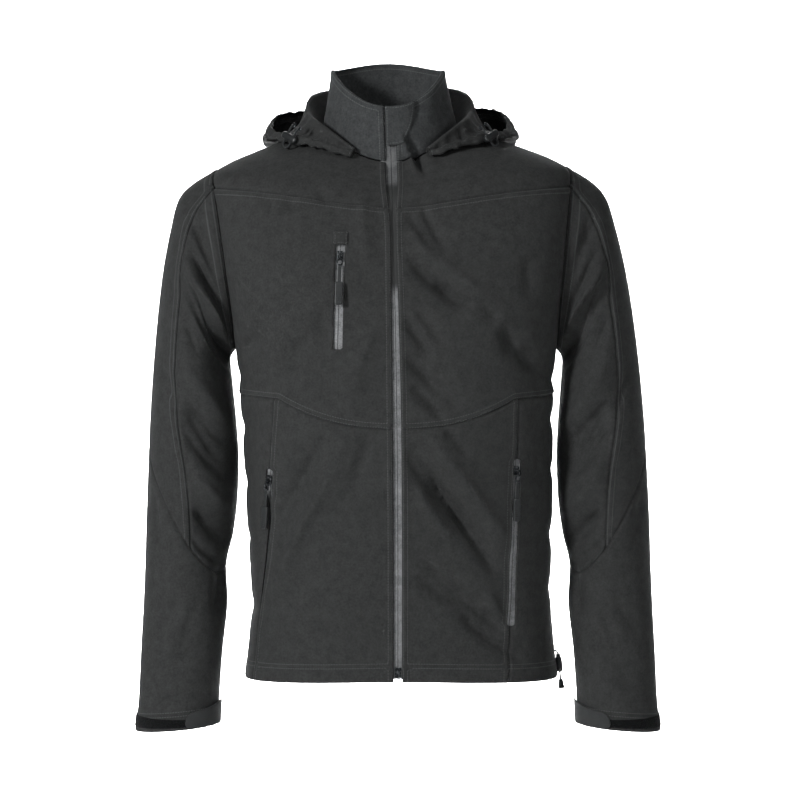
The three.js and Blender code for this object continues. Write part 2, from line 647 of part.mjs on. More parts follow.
// The azimuth and level of each seam of one side, all for the wearer's left. mirrored() turns a
// seam to its own side.
function seamsOf(pocket) {
  const seamCorner = (() => {
    let level = CHEST_SEAM_CENTRE;
    for (let step = 0; step < 6; step += 1) level = chestSeamLevel(pocketX(pocket, level));
    return level;
  })();
  const cornerX = pocketX(pocket, seamCorner);
  const zipX = track(ZIP_OPENING, "level", "half", CHEST_SEAM_CENTRE);
  const yokeEnd = armhole(YOKE_ARM_DEG);
  return {
    zip: (from, to) => (v) => {
      const level = lerp(from, to, v);
      return [zipAzimuth(level), level];
    },
    chestSeamFront: (u) => {
      const x = lerp(zipX, cornerX, u);
      return [azimuthAt(chestSeamLevel(x), x), chestSeamLevel(x)];
    },
    chestSeamSide: (u) => {
      const start = seamAzimuth(pocket, seamCorner);
      return [lerp(start, 90, u), lerp(seamCorner, CHEST_SEAM_SIDE, Math.sin((u * Math.PI) / 2))];
    },
    pocketSeam: (v) => {
      const level = lerp(HEM_LEVEL, seamCorner, v);
      return [seamAzimuth(pocket, level), level];
    },
    hemFront: (u) => {
      const x = lerp(zipX, pocketX(pocket, HEM_LEVEL), u);
      return [azimuthAt(HEM_LEVEL, x), HEM_LEVEL];
    },
    hemSide: (u) => [lerp(seamAzimuth(pocket, HEM_LEVEL), 90, u), HEM_LEVEL],
    sideSeamLow: (v) => [90, lerp(HEM_LEVEL, CHEST_SEAM_SIDE, v)],
    sideSeamHigh: (v) => [90, lerp(CHEST_SEAM_SIDE, ARM_FOOT, v)],
    armholeFront: (v) => armhole(lerp(180, YOKE_ARM_DEG, v)),
    armholeBack: (v) => armhole(lerp(-180, -YOKE_ARM_DEG, v)),
    yokeSeam: (u) => [lerp(zipAzimuth(YOKE_LEVEL), yokeEnd[0], u), lerp(YOKE_LEVEL, yokeEnd[1], u)],
    armholeYoke: (v) => armhole(lerp(YOKE_ARM_DEG, SHOULDER_ARM_DEG, v)),
    armholeBackYoke: (v) => armhole(lerp(-YOKE_ARM_DEG, SHOULDER_ARM_DEG, v)),
    shoulderSeam: (v) => {
      const [azimuth, level] = armhole(SHOULDER_ARM_DEG);
      return [lerp(azimuth, SHOULDER_NECK_AZIMUTH, v), lerp(level, NECK_LEVEL, v)];
    },
    neckline: (u) => [lerp(zipAzimuth(NECK_LEVEL), SHOULDER_NECK_AZIMUTH, u), NECK_LEVEL],
  };
}

const mirrored = (side, seam) => (v) => {
  const [azimuth, level] = seam(v);
  return [side * azimuth, level];
};

function frontPanel(side, edges, across, up) {
  const turned = Object.entries(edges).map(([name, edge]) => [name, mirrored(side, edge)]);
  return patch(bodyPoint, Object.fromEntries(turned), across, up);
}

function addFronts(pocket, name) {
  const seams = seamsOf(pocket);
  const window = windowPrism(pocket, 0);
  const yoke = {
    left: seams.zip(YOKE_LEVEL, NECK_LEVEL),
    right: chain([
      { cells: YOKE_ARM_CELLS, at: seams.armholeYoke },
      { cells: SHOULDER_CELLS, at: seams.shoulderSeam },
    ]),
    foot: seams.yokeSeam,
    top: seams.neckline,
  };
  const chest = {
    left: seams.zip(CHEST_SEAM_CENTRE, YOKE_LEVEL),
    right: chain([
      { cells: SIDE_SEAM_UP, at: seams.sideSeamHigh },
      { cells: BODY_ARM_CELLS, at: seams.armholeFront },
    ]),
    foot: chain([
      { cells: LOWER_ACROSS, at: seams.chestSeamFront },
      { cells: SIDE_ACROSS, at: seams.chestSeamSide },
    ]),
    top: seams.yokeSeam,
  };
  const lower = {
    left: seams.zip(HEM_LEVEL, CHEST_SEAM_CENTRE),
    right: seams.pocketSeam,
    foot: seams.hemFront,
    top: seams.chestSeamFront,
  };
  const sidePanel = {
    left: seams.pocketSeam,
    right: seams.sideSeamLow,
    foot: seams.hemSide,
    top: seams.chestSeamSide,
  };
  const { side } = pocket;
  const yokeGrid = frontPanel(side, yoke, FRONT_ACROSS, YOKE_ARM_CELLS + SHOULDER_CELLS);
  const chestGrid = frontPanel(side, chest, FRONT_ACROSS, SIDE_SEAM_UP + BODY_ARM_CELLS);
  const lowerGrid = frontPanel(side, lower, LOWER_ACROSS, LOWER_UP);
  const sideGrid = frontPanel(side, sidePanel, SIDE_ACROSS, LOWER_UP);
  add(`front_yoke_${name}`, wall(yokeGrid), "shell");
  if (side === CHEST_POCKET.side) {
    add(`front_chest_${name}`, cut(wall(chestGrid), [windowPrism(CHEST_POCKET, 0)]), "shell");
    addPocketZip(CHEST_POCKET, [chestGrid]);
    addGarage(chestGrid);
  } else {
    add(`front_chest_${name}`, wall(chestGrid), "shell");
  }
  add(`front_lower_${name}`, cut(wall(lowerGrid), [window]), "shell");
  add(`side_panel_${name}`, cut(wall(sideGrid), [window]), "shell");
  addPocketZip(pocket, [lowerGrid, sideGrid]);
}

function addBack() {
  const seams = seamsOf(HAND_POCKETS[0]);
  const opposite = (seam) => (v) => {
    const [azimuth, level] = seam(v);
    return [360 - azimuth, level];
  };
  const between = (from, to) => (u) => [0, 1].map((k) => lerp(from[k], to[k], u));
  const panel = (near, up) => {
    const far = opposite(near);
    const edges = { left: near, right: far, foot: between(near(0), far(0)), top: between(near(1), far(1)) };
    return wall(patch(bodyPoint, edges, BACK_ACROSS, up));
  };
  const backEdge = chain([
    { cells: LOWER_UP, at: seams.sideSeamLow },
    { cells: SIDE_SEAM_UP, at: seams.sideSeamHigh },
    { cells: BODY_ARM_CELLS, at: seams.armholeBack },
  ]);
  const yokeCells = (YOKE_ARM_DEG + SHOULDER_ARM_DEG) / ARM_CELL_DEG;
  const yokeEdge = chain([
    { cells: yokeCells, at: seams.armholeBackYoke },
    { cells: SHOULDER_CELLS, at: seams.shoulderSeam },
  ]);
  add("back_panel", panel(backEdge, LOWER_UP + SIDE_SEAM_UP + BODY_ARM_CELLS), "shell");
  add("back_yoke", panel(yokeEdge, yokeCells + SHOULDER_CELLS), "shell");
}

// Sleeves: a top panel, an under panel and a forearm, whose points meet along the elbow seam

const SLEEVE_DOWN = 11;
const FOREARM_DOWN = 7;
const TOP_ACROSS = (YOKE_ARM_DEG + 360 - SLEEVE_BACK_SEAM) / ARM_CELL_DEG;
const UNDER_ACROSS = (SLEEVE_BACK_SEAM - YOKE_ARM_DEG) / ARM_CELL_DEG;
const TOP_START = SLEEVE_BACK_SEAM - 360;

function sleevePanel(side, startTurn, endTurn, across) {
  const down = (turnAt) => (v) => {
    const turn = turnAt(v);
    return [turn, lerp(0, elbowSeam(turnAt(1)), v)];
  };
  const edges = {
    left: down(startTurn),
    right: down(endTurn),
    foot: (u) => [lerp(startTurn(0), endTurn(0), u), 0],
    top: (u) => {
      const turn = lerp(startTurn(1), endTurn(1), u);
      return [turn, elbowSeam(turn)];
    },
  };
  return wall(patch((turn, t) => sleevePoint(side, turn, t), edges, across, SLEEVE_DOWN));
}

// The turns of the forearm's grid, which are those of both panels' feet.
function forearmTurns() {
  const turns = [];
  for (let i = 0; i < TOP_ACROSS; i += 1) {
    turns.push(lerp(TOP_START, SLEEVE_FRONT_SEAM_FOOT, i / TOP_ACROSS));
  }
  for (let i = 0; i < UNDER_ACROSS; i += 1) {
    turns.push(lerp(SLEEVE_FRONT_SEAM_FOOT, SLEEVE_BACK_SEAM, i / UNDER_ACROSS));
  }
  return turns;
}

function addSleeve(side, name) {
  const top = sleevePanel(side, () => TOP_START, frontSeamTurn, TOP_ACROSS);
  const under = sleevePanel(side, frontSeamTurn, () => SLEEVE_BACK_SEAM, UNDER_ACROSS);
  const forearm = [];
  for (let j = 0; j <= FOREARM_DOWN; j += 1) {
    forearm.push(
      forearmTurns().map((turn) => {
        const t = lerp(elbowSeam(turn), SLEEVE_END, j / FOREARM_DOWN);
        return sleevePoint(side, turn, t);
      }),
    );
  }
  add(`sleeve_top_${name}`, top, "shell");
  add(`sleeve_under_${name}`, under, "shell");
  add(`sleeve_forearm_${name}`, wall(forearm, { closed: true }), "shell");
  add(`cuff_strip_${name}`, cuffPiece(forearm, STRIP), "loop");
  add(`cuff_tab_${name}`, cuffPiece(forearm, TAB), "rubber");
}

// A piece of a cuff, over some columns and rows of the forearm's grid.
function cuffPiece(forearm, { columns, rows, thick, lift }) {
  const grid = rows.map((row) => columns.map((column) => between(forearm, column, row)));
  return wall(grid, { thick, lift: lift + thick });
}

// The collar, with its chin guard over the head of the zip

const COLLAR_AROUND = 28;
const COLLAR_UP = 5;

function addCollar() {
  const edges = {
    left: (v) => {
      const level = lerp(COLLAR_FOOT, RIM_LEVEL, v);
      return [zipAzimuth(level), level];
    },
    right: (v) => {
      const level = lerp(COLLAR_FOOT, RIM_LEVEL, v);
      return [360 - zipAzimuth(level), level];
    },
    foot: (u) => [lerp(zipAzimuth(COLLAR_FOOT), 360 - zipAzimuth(COLLAR_FOOT), u), COLLAR_FOOT],
    top: (u) => [lerp(zipAzimuth(RIM_LEVEL), 360 - zipAzimuth(RIM_LEVEL), u), RIM_LEVEL],
  };
  add("collar", wall(patch(bodyPoint, edges, COLLAR_AROUND, COLLAR_UP), { thick: COLLAR_CLOTH }), "collar");

  // The guard's outer edge curves from the rim down to the zip.
  const outer = (v) => {
    const level = lerp(CHIN.bottom, RIM_LEVEL - 0.5, v);
    return [azimuthAt(level, lerp(CHIN.foot, CHIN.reach, Math.sin((v * Math.PI) / 2) ** 0.7)), level];
  };
  const inner = (v) => {
    const level = lerp(CHIN.bottom, RIM_LEVEL - 0.5, v);
    return [azimuthAt(level, CHIN.past), level];
  };
  const across = (v) => (u) => [0, 1].map((k) => lerp(inner(v)[k], outer(v)[k], u));
  const guardEdges = { left: inner, right: outer, foot: across(0), top: across(1) };
  const guard = patch(bodyPoint, guardEdges, CHIN.cells, CHIN.cells);
  add("chin_guard", wall(guard, { thick: CHIN.thick, lift: CHIN.thick + 1.2 * SEAM_GAP }), "collar");
}

// The hood: a pouch of three panels round the neck, open upwards

// The body's surface from the neckline down at one azimuth, as points with their distance along.
const meridians = new Map();
function meridian(azimuth) {
  const key = azimuth.toFixed(3);
  if (!meridians.has(key)) {
    const stops = [];
    let run = 0;
    for (let level = NECK_LEVEL; level > -170; level -= 3) {
      const point = bodyBase(azimuth, level);
      if (stops.length) run += point.distanceTo(stops[stops.length - 1].point);
      stops.push({ run, point, normal: bodyNormal(azimuth, level) });
    }
    meridians.set(key, stops);
  }
  return meridians.get(key);
}

function besideNeck(azimuth, run, up, rise) {
  const stops = meridian(azimuth);
  let i = 0;
  while (i < stops.length - 2 && stops[i + 1].run < run) i += 1;
  const share = clamp01((run - stops[i].run) / (stops[i + 1].run - stops[i].run));
  const normal = stops[i].normal.clone().lerp(stops[i + 1].normal, share).normalize();
  const point = stops[i].point.clone().lerp(stops[i + 1].point, share).addScaledVector(normal, up);
  return point.setZ(point.z + rise);
}

// A section runs from the neck seam over the crest, down to the floor and round up to the rim.
function hoodBase(azimuth, share) {
  const turned = azimuth > 180 ? 360 - azimuth : azimuth;
  const at = (column) => track(HOOD_SECTIONS, "azimuth", column, turned);
  const sagged = Math.exp(-(((turned - HOOD_SAG.azimuth) / HOOD_SAG.spread) ** 2));
  const sag = (azimuth < 180 ? HOOD_SAG.left : HOOD_SAG.right) * sagged;
  const crestUp = at("crestUp") - 0.5 * sag;
  const stops = [
    { share: 0, run: 3.4, up: 1.4, rise: 0 },
    { share: 0.14, run: at("crestRun"), up: crestUp, rise: at("crestRise") },
    {
      share: 0.27,
      run: lerp(at("crestRun"), at("floorRun"), 0.5),
      up: lerp(crestUp, at("floorUp"), 0.55),
      rise: at("crestRise") / 3,
    },
    { share: 0.42, run: at("floorRun"), up: at("floorUp"), rise: 0 },
    { share: 0.6, run: at("bottomRun"), up: at("bottomUp"), rise: 0 },
    { share: 0.78, run: at("bellyRun"), up: at("bellyUp") - 0.35 * sag, rise: 0 },
    { share: 1, run: at("rimRun"), up: at("rimUp") - sag, rise: 0 },
  ];
  const along = (column) => track(stops, "share", column, share);
  return besideNeck(azimuth, along("run"), along("up"), along("rise"));
}

function hoodPoint(azimuth, share) {
  const surface = (a, b) => hoodBase(a, clamp01(b));
  const step = 0.02;
  const along = surface(azimuth, share + step).sub(surface(azimuth, share - step));
  const around = surface(azimuth + 1, share).sub(surface(azimuth - 1, share));
  return { point: surface(azimuth, share), normal: around.cross(along).normalize() };
}

const HOOD_SHARE_CELLS = 9;

function addHood() {
  const panel = (from, to, across) => {
    const edges = {
      left: (v) => [from, v],
      right: (v) => [to, v],
      foot: (u) => [lerp(from, to, u), 0],
      top: (u) => [lerp(from, to, u), 1],
    };
    return wall(patch(hoodPoint, edges, across, HOOD_SHARE_CELLS), { thick: HOOD_CLOTH });
  };
  add("hood_left", panel(HOOD_FRONT, HOOD_SIDE_SEAM, 9), "shell");
  add("hood_centre", panel(HOOD_SIDE_SEAM, 360 - HOOD_SIDE_SEAM, 6), "shell");
  add("hood_right", panel(360 - HOOD_SIDE_SEAM, 360 - HOOD_FRONT, 9), "shell");
}

// Zips

function addFrontZip() {
  const stretches = [
    { from: HEM_LEVEL + FRONT_ZIP.aboveHem, to: CHEST_SEAM_CENTRE, cells: LOWER_UP },
    { from: CHEST_SEAM_CENTRE, to: YOKE_LEVEL, cells: SIDE_SEAM_UP + BODY_ARM_CELLS },
    { from: YOKE_LEVEL, to: NECK_LEVEL, cells: YOKE_ARM_CELLS + SHOULDER_CELLS },
    { from: COLLAR_FOOT, to: RIM_LEVEL, cells: COLLAR_UP },
  ];
  const levels = stretches.flatMap(({ from, to, cells }) =>
    Array.from({ length: cells }, (_, k) => lerp(from, to, k / cells)),
  );
  levels.push(RIM_LEVEL - FRONT_ZIP.belowRim);
  const columns = [-FRONT_ZIP.half, 0, FRONT_ZIP.half];
  const grid = levels.map((level) => columns.map((x) => bodyPoint(azimuthAt(level, x), level)));
  add("front_zip", wall(grid, { thick: TAPE, lift: -FRONT_ZIP.depth }), "zip");

  const frameAt = ({ level, thick }) => {
    const { point, normal } = bodyPoint(0, level);
    const up = bodyPoint(0, level + 2).point.sub(bodyPoint(0, level - 2).point).normalize();
    const frame = new THREE.Matrix4().makeBasis(up.clone().cross(normal), up, normal);
    return frame.setPosition(point.addScaledVector(normal, thick / 2 + METAL_GAP - FRONT_ZIP.depth));
  };
  const sized = ({ width, length, thick, corner }) => plate(width, length, thick, corner);
  const slider = join(sized(FRONT_SLIDER), sized(FRONT_TAB).translate(0, -FRONT_TAB.below, 0));
  add("front_zip_slider", slider.applyMatrix4(frameAt(FRONT_SLIDER)), "metal");
  add("front_zip_box", sized(FRONT_BOX).applyMatrix4(frameAt(FRONT_BOX)), "metal");
}

// A slider with a bridge, and a puller that swings on the bridge's pin. All are made in the
// pocket's frame: X across the zip, Y up along it and Z out from the tape's face.
function sliderBody() {
  const { width, length, height, corner, seat } = SLIDER;
  const base = plate(width, length, height, corner).translate(0, 0, height / 2 + seat);
  const postHeight = POST.top - height + 0.5;
  const posts = [-1, 1].map((way) => {
    const post = new THREE.BoxGeometry(POST.outer - POST.inner, POST.length, postHeight);
    return post.translate((way * (POST.outer + POST.inner)) / 2, 0, POST.top - postHeight / 2);
  });
  const pin = rodAlong("x", PIN_RADIUS, 2 * POST.inner + 0.6).translate(0, 0, PIN_UP);
  return join(base, ...posts, pin);
}

function pullLink() {
  const eye = rodAlong("x", EYE.outer, EYE.width, 12).translate(0, 0, PIN_UP);
  const arm = new THREE.BoxGeometry(EYE.width, ARM.length, LINK.thick);
  arm.translate(0, -EYE.bore - 0.3 - ARM.length / 2, PIN_UP);
  const ringY = LINK_TOP - LINK.length / 2;
  const ring = plate(LINK.width, LINK.length, LINK.thick, LINK.corner).translate(0, ringY, PIN_UP);
  const hole = plate(LINK_HOLE.width, LINK_HOLE.length, LINK.thick + 2, LINK_HOLE.corner);
  hole.translate(0, ringY - LINK_HOLE.below, PIN_UP);
  const bore = rodAlong("x", EYE.bore, EYE.width + 2, 12).translate(0, 0, PIN_UP);
  return cut(join(eye, arm, ring), [hole, bore]);
}

function pullGrip() {
  const top = LINK_TOP - LINK.length - SEAM_GAP;
  const strap = plate(STRAP.width, STRAP.length, STRAP.thick, STRAP.corner);
  strap.translate(0, top - STRAP.length / 2, PIN_UP);
  const gripY = top - STRAP.length + STRAP.inGrip - GRIP.length / 2;
  const grip = plate(GRIP.width, GRIP.length, GRIP.thick, GRIP.corner).translate(0, gripY, PIN_UP);
  return join(strap, grip);
}

function addPocketZip(pocket, grids) {
  add(`${pocket.name}_zip`, pocketTape(pocket, grids), "zip");
  const frame = pocketFrame(pocket, pocket.topZ - pocket.parked, 20, -TAPE_DEPTH);
  add(`${pocket.name}_slider`, sliderBody().applyMatrix4(frame), "metal");
  add(`${pocket.name}_pull_link`, pullLink().applyMatrix4(frame), "metal");
  add(`${pocket.name}_pull_grip`, pullGrip().applyMatrix4(frame), "rubber");
}

// The patch of cloth that covers the head of the chest zip, on the panel's own facets, one gap up.
function addGarage(grid) {
  const layer = toSolid(wall(grid, { thick: GARAGE.thick, lift: GARAGE.thick + SEAM_GAP, inset: 0 }));
  const { width, length, below } = GARAGE;
  const prism = plate(width, length, 60, 1.5);
  prism.applyMatrix4(pocketFrame(CHEST_POCKET, CHEST_POCKET.topZ - below, 20, 0));
  add("chest_zip_garage", fromSolid(layer.intersect(toSolid(prism))), "shell");
}

// Cords and locks

// A cord of eight-sided section through the given points, in steps of a few diameters.
function cordTube(points, steps) {
  const stops = points.map((p) => new THREE.Vector3(...p));
  const path = new THREE.CatmullRomCurve3(stops, false, "centripetal");
  const section = new THREE.Shape();
  for (let k = 0; k < CORD_SIDES; k += 1) {
    const turn = (2 * Math.PI * k) / CORD_SIDES;
    section[k ? "lineTo" : "moveTo"](CORD_RADIUS * Math.cos(turn), CORD_RADIUS * Math.sin(turn));
  }
  section.closePath();
  return new THREE.ExtrudeGeometry(section, { steps, extrudePath: path, bevelEnabled: false });
}

// A frame on a surface: Z outwards, Y towards a second point of it.
function frameOn({ point, normal }, towards) {
  const up = towards.clone().sub(point);
  up.addScaledVector(normal, -up.dot(normal)).normalize();
  return new THREE.Matrix4().makeBasis(up.clone().cross(normal), up, normal).setPosition(point);
}

// The hood's lock: an oval bar with two bores. Both strands of one cord leave their eyelets in
// the casing, pass through the bar and join in a loop below it.
function addHoodLock(azimuth, name) {
  const seat = hoodPoint(azimuth, HOOD_LOCK.share);
  const outward = seat.point.clone().sub(bodyBase(azimuth, NECK_LEVEL));
  seat.normal.multiplyScalar(Math.sign(seat.normal.dot(outward)));
  const frame = frameOn(seat, hoodPoint(azimuth, HOOD_LOCK.share + 0.1).point);
  const { length, width, thick, spread, up } = HOOD_LOCK;
  const bar = plate(length, width, thick, width / 2 - 0.2).translate(0, 0, up);
  const bores = [-1, 1].map((way) => {
    return rodAlong("y", CORD_BORE, width + 4, 12).translate(way * spread, 0, up);
  });
  add(`hood_lock_${name}`, cut(bar, bores).applyMatrix4(frame), "rubber");
  const strand = [
    [spread, width + 6, 0.5],
    [spread, width + 5.5, 2.4],
    [spread, width + 2.5, up],
    [spread, width / 2, up],
    [spread, -width / 2, up],
  ];
  const bend = -width / 2 - 3;
  const turn = [[spread * 0.75, bend - spread * 0.66, up], [0, bend - spread, up]];
  const far = [...turn.slice(0, 1), ...strand.slice().reverse()].map(([x, y, z]) => [-x, y, z]);
  const points = [...strand, [spread, bend, up], ...turn, far[0], [-spread, bend, up], ...far.slice(1)];
  add(`hood_cord_${name}`, cordTube(points, 16).applyMatrix4(frame), "rubber");
}

// The hem's lock with the free end of its cord, which ends in a bell.
function addHemLock(azimuth, name, sink) {
  const frame = frameOn(bodyPoint(azimuth, HEM_LOCK.level), bodyPoint(azimuth, HEM_LOCK.level + 10).point);
  frame.multiply(new THREE.Matrix4().makeTranslation(0, 0, -sink));
  const { length, width, thick, up, drop } = HEM_LOCK;
  const block = plate(width, length, thick, HEM_LOCK.corner).translate(0, 0, up);
  const bore = rodAlong("y", CORD_BORE, length + 4, 12).translate(0, 0, up);
  add(`hem_lock_${name}`, cut(block, [bore]).applyMatrix4(frame), "rubber");
  const bell = new THREE.CylinderGeometry(BELL.neck, BELL.mouth, BELL.length, 12);
  bell.translate(0, -drop - BELL.length / 2 + BELL.grip, up);
  const socket = rodAlong("y", CORD_BORE, BELL.grip + 0.3, 12);
  socket.translate(0, -drop + BELL.grip / 2 - 0.15, up);
  add(`hem_cord_end_${name}`, cut(bell, [socket]).applyMatrix4(frame), "rubber");
  const points = [
    [0, length / 2 + 8, 0.5],
    [0, length / 2 + 7.5, 2.6],
    [0, length / 2 + 4.5, up],
    [0, length / 2 - 1, up],
    [0, -length / 2, up],
    [0, -drop, up],
  ];
  add(`hem_cord_${name}`, cordTube(points, 8).applyMatrix4(frame), "rubber");
}

addFronts(HAND_POCKETS[0], "left");
addFronts(HAND_POCKETS[1], "right");
addBack();
addSleeve(1, "left");
addSleeve(-1, "right");
addCollar();
addHood();
addFrontZip();
addHoodLock(HOOD_LOCK_AZIMUTH, "left");
addHoodLock(360 - HOOD_LOCK_AZIMUTH, "right");
addHemLock(HEM_LOCK_LEFT_AZIMUTH, "left", 1);
addHemLock(HEM_LOCK_RIGHT_AZIMUTH, "right", 0);

export default jacket;
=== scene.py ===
import math

import bpy
import numpy as np
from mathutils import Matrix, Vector


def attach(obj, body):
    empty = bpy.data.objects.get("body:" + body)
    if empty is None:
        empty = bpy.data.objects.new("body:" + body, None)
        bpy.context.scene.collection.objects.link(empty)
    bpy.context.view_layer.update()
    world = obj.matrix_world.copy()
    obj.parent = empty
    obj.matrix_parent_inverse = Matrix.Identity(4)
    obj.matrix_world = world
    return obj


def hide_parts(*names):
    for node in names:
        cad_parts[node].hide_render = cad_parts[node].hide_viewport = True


# A softshell jacket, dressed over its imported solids. Sizes below are in millimetres, in the
# part's own frame: +Z up, the front faces -Y, the wearer's left is +X. Meshes are in metres.

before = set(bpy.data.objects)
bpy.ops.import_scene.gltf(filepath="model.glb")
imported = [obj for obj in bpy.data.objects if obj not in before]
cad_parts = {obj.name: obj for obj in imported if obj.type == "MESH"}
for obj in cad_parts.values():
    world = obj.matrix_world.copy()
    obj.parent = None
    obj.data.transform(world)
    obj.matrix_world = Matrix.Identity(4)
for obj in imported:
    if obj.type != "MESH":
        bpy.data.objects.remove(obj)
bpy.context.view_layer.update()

MM = 0.001
JACKET = "jacket"

# Cloth and seams
CLOTH = 2.2
COLLAR_CLOTH = 2.8
HOOD_CLOTH = 2
SEAM_GAP = 0.3
INSET = 0.2
TAPE_DEPTH = CLOTH + 0.4
CELL = 4.4  # spacing of the cloth's points between its seams
SEAM_STOPS = np.array([0, 0.6, 1.3, 2.2, 3.4, 4.8, 6.0, 7.2, 8.8, 11.0])  # and near a seam
ROW_NEAR = 1.7  # the two rows of topstitching, from the seam
ROW_FAR = 6.6
ROW_MIDDLE = 4
HEM_TURN = 22
STITCH_PITCH = 3.2
WEAVE_PITCH = 1.1
COIL_PITCH = 1.6
BRAID_PITCH = 1.3
FAR = 40.0  # a distance from the stitches at which none show

# Heights on the body, as levels of its sections
HEM_LEVEL = -634
CHEST_SEAM_CENTRE = -332
CHEST_SEAM_RISE = 36
CHEST_SEAM_REACH = 142
CHEST_SEAM_SIDE = -290
YOKE_LEVEL = -43
NECK_LEVEL = 45
COLLAR_FOOT = 46.2
RIM_LEVEL = 116

# The armhole
ARM_TOP = -12
ARM_FOOT = -232
ARM_FRONT_DEG = 18
ARM_BACK_DEG = 20
YOKE_ARM_DEG = 45
SHOULDER_NECK_AZIMUTH = 80


def table(header, *rows):
    """Named columns of numbers, from rows."""
    return dict(zip(header.split(), np.array(rows, float).T))


# Sections of the body: half width, depths front and back, superellipse power, and the heights at
# the side, centre front and centre back.
RINGS = table(
    "level half front back square side_z front_z back_z",
    (-634, 193, 121, 116, 2.5, -638, -632, -641),
    (-548, 185, 120, 104, 2.5, -549, -548, -551),
    (-450, 188.5, 121, 97, 2.5, -450, -450, -450),
    (-350, 191.5, 127, 100, 2.5, -350, -350, -350),
    (-260, 195.5, 134, 110, 2.6, -260, -262, -260),
    (-200, 202, 136, 117, 2.9, -200, -206, -200),
    (-140, 212, 132, 120, 3.2, -140, -150, -142),
    (-90, 220, 124, 117, 3.2, -86, -108, -94),
    (-50, 225, 115, 110, 2.9, -41, -74, -55),
    (-22, 221, 107, 103, 2.6, -15, -55, -28),
    (0, 197, 99, 95, 2.3, 1, -42, -6),
    (15, 162, 91, 87, 2.15, 15, -32, 12),
    (30, 124, 83, 77, 2.05, 28, -22, 30),
    (45, 87, 76, 67, 2, 41, -11, 46),
    (56, 81, 77, 66, 2, 53, 3, 60),
    (85, 75, 76, 64, 2, 82, 28, 94),
    (116, 70, 73, 60, 2, 112, 57, 129),
)
ZIP_OPENING = table(
    "level half",
    (-634, 4.6),
    (-300, 4.6),
    (-180, 3.6),
    (-70, 2.8),
    (0, 6.2),
    (45, 6.6),
    (116, 6.6),
)

# Sections of a sleeve: its outer and inner edges in the front view, half depth and middle.
SLEEVE_RINGS = table(
    "out_x out_z in_x in_z depth mid_y",
    (246, -26, 204.5, -241, 74, 4),
    (265, -48, 206.5, -249, 76, 5),
    (276, -86, 206, -259, 76, 6),
    (286, -132, 204.5, -274, 75, 7),
    (294, -186, 202.5, -296, 73, 7),
    (301, -252, 199.5, -330, 70, 6),
    (306, -318, 197.5, -372, 67, 4),
    (309, -384, 199, -420, 64, 1),
    (311, -444, 204, -462, 61, -3),
    (312, -500, 212, -500, 58, -9),
    (313.5, -556, 210, -548, 54, -17),
    (315.5, -610, 215, -602, 50, -26),
    (317, -662, 218, -652, 46, -34),
    (320.5, -700, 219.5, -692, 42, -40),
)
SLEEVE_END = 14
SLEEVE_LIFT = 0.5
SLEEVE_BACK_SEAM = 255
SLEEVE_FRONT_FOOT = 100
SLEEVE_FRONT_SEAM = table(
    "share turn", (0, 45), (0.25, 59), (0.45, 66), (0.68, 70), (0.82, 87), (1, SLEEVE_FRONT_FOOT)
)

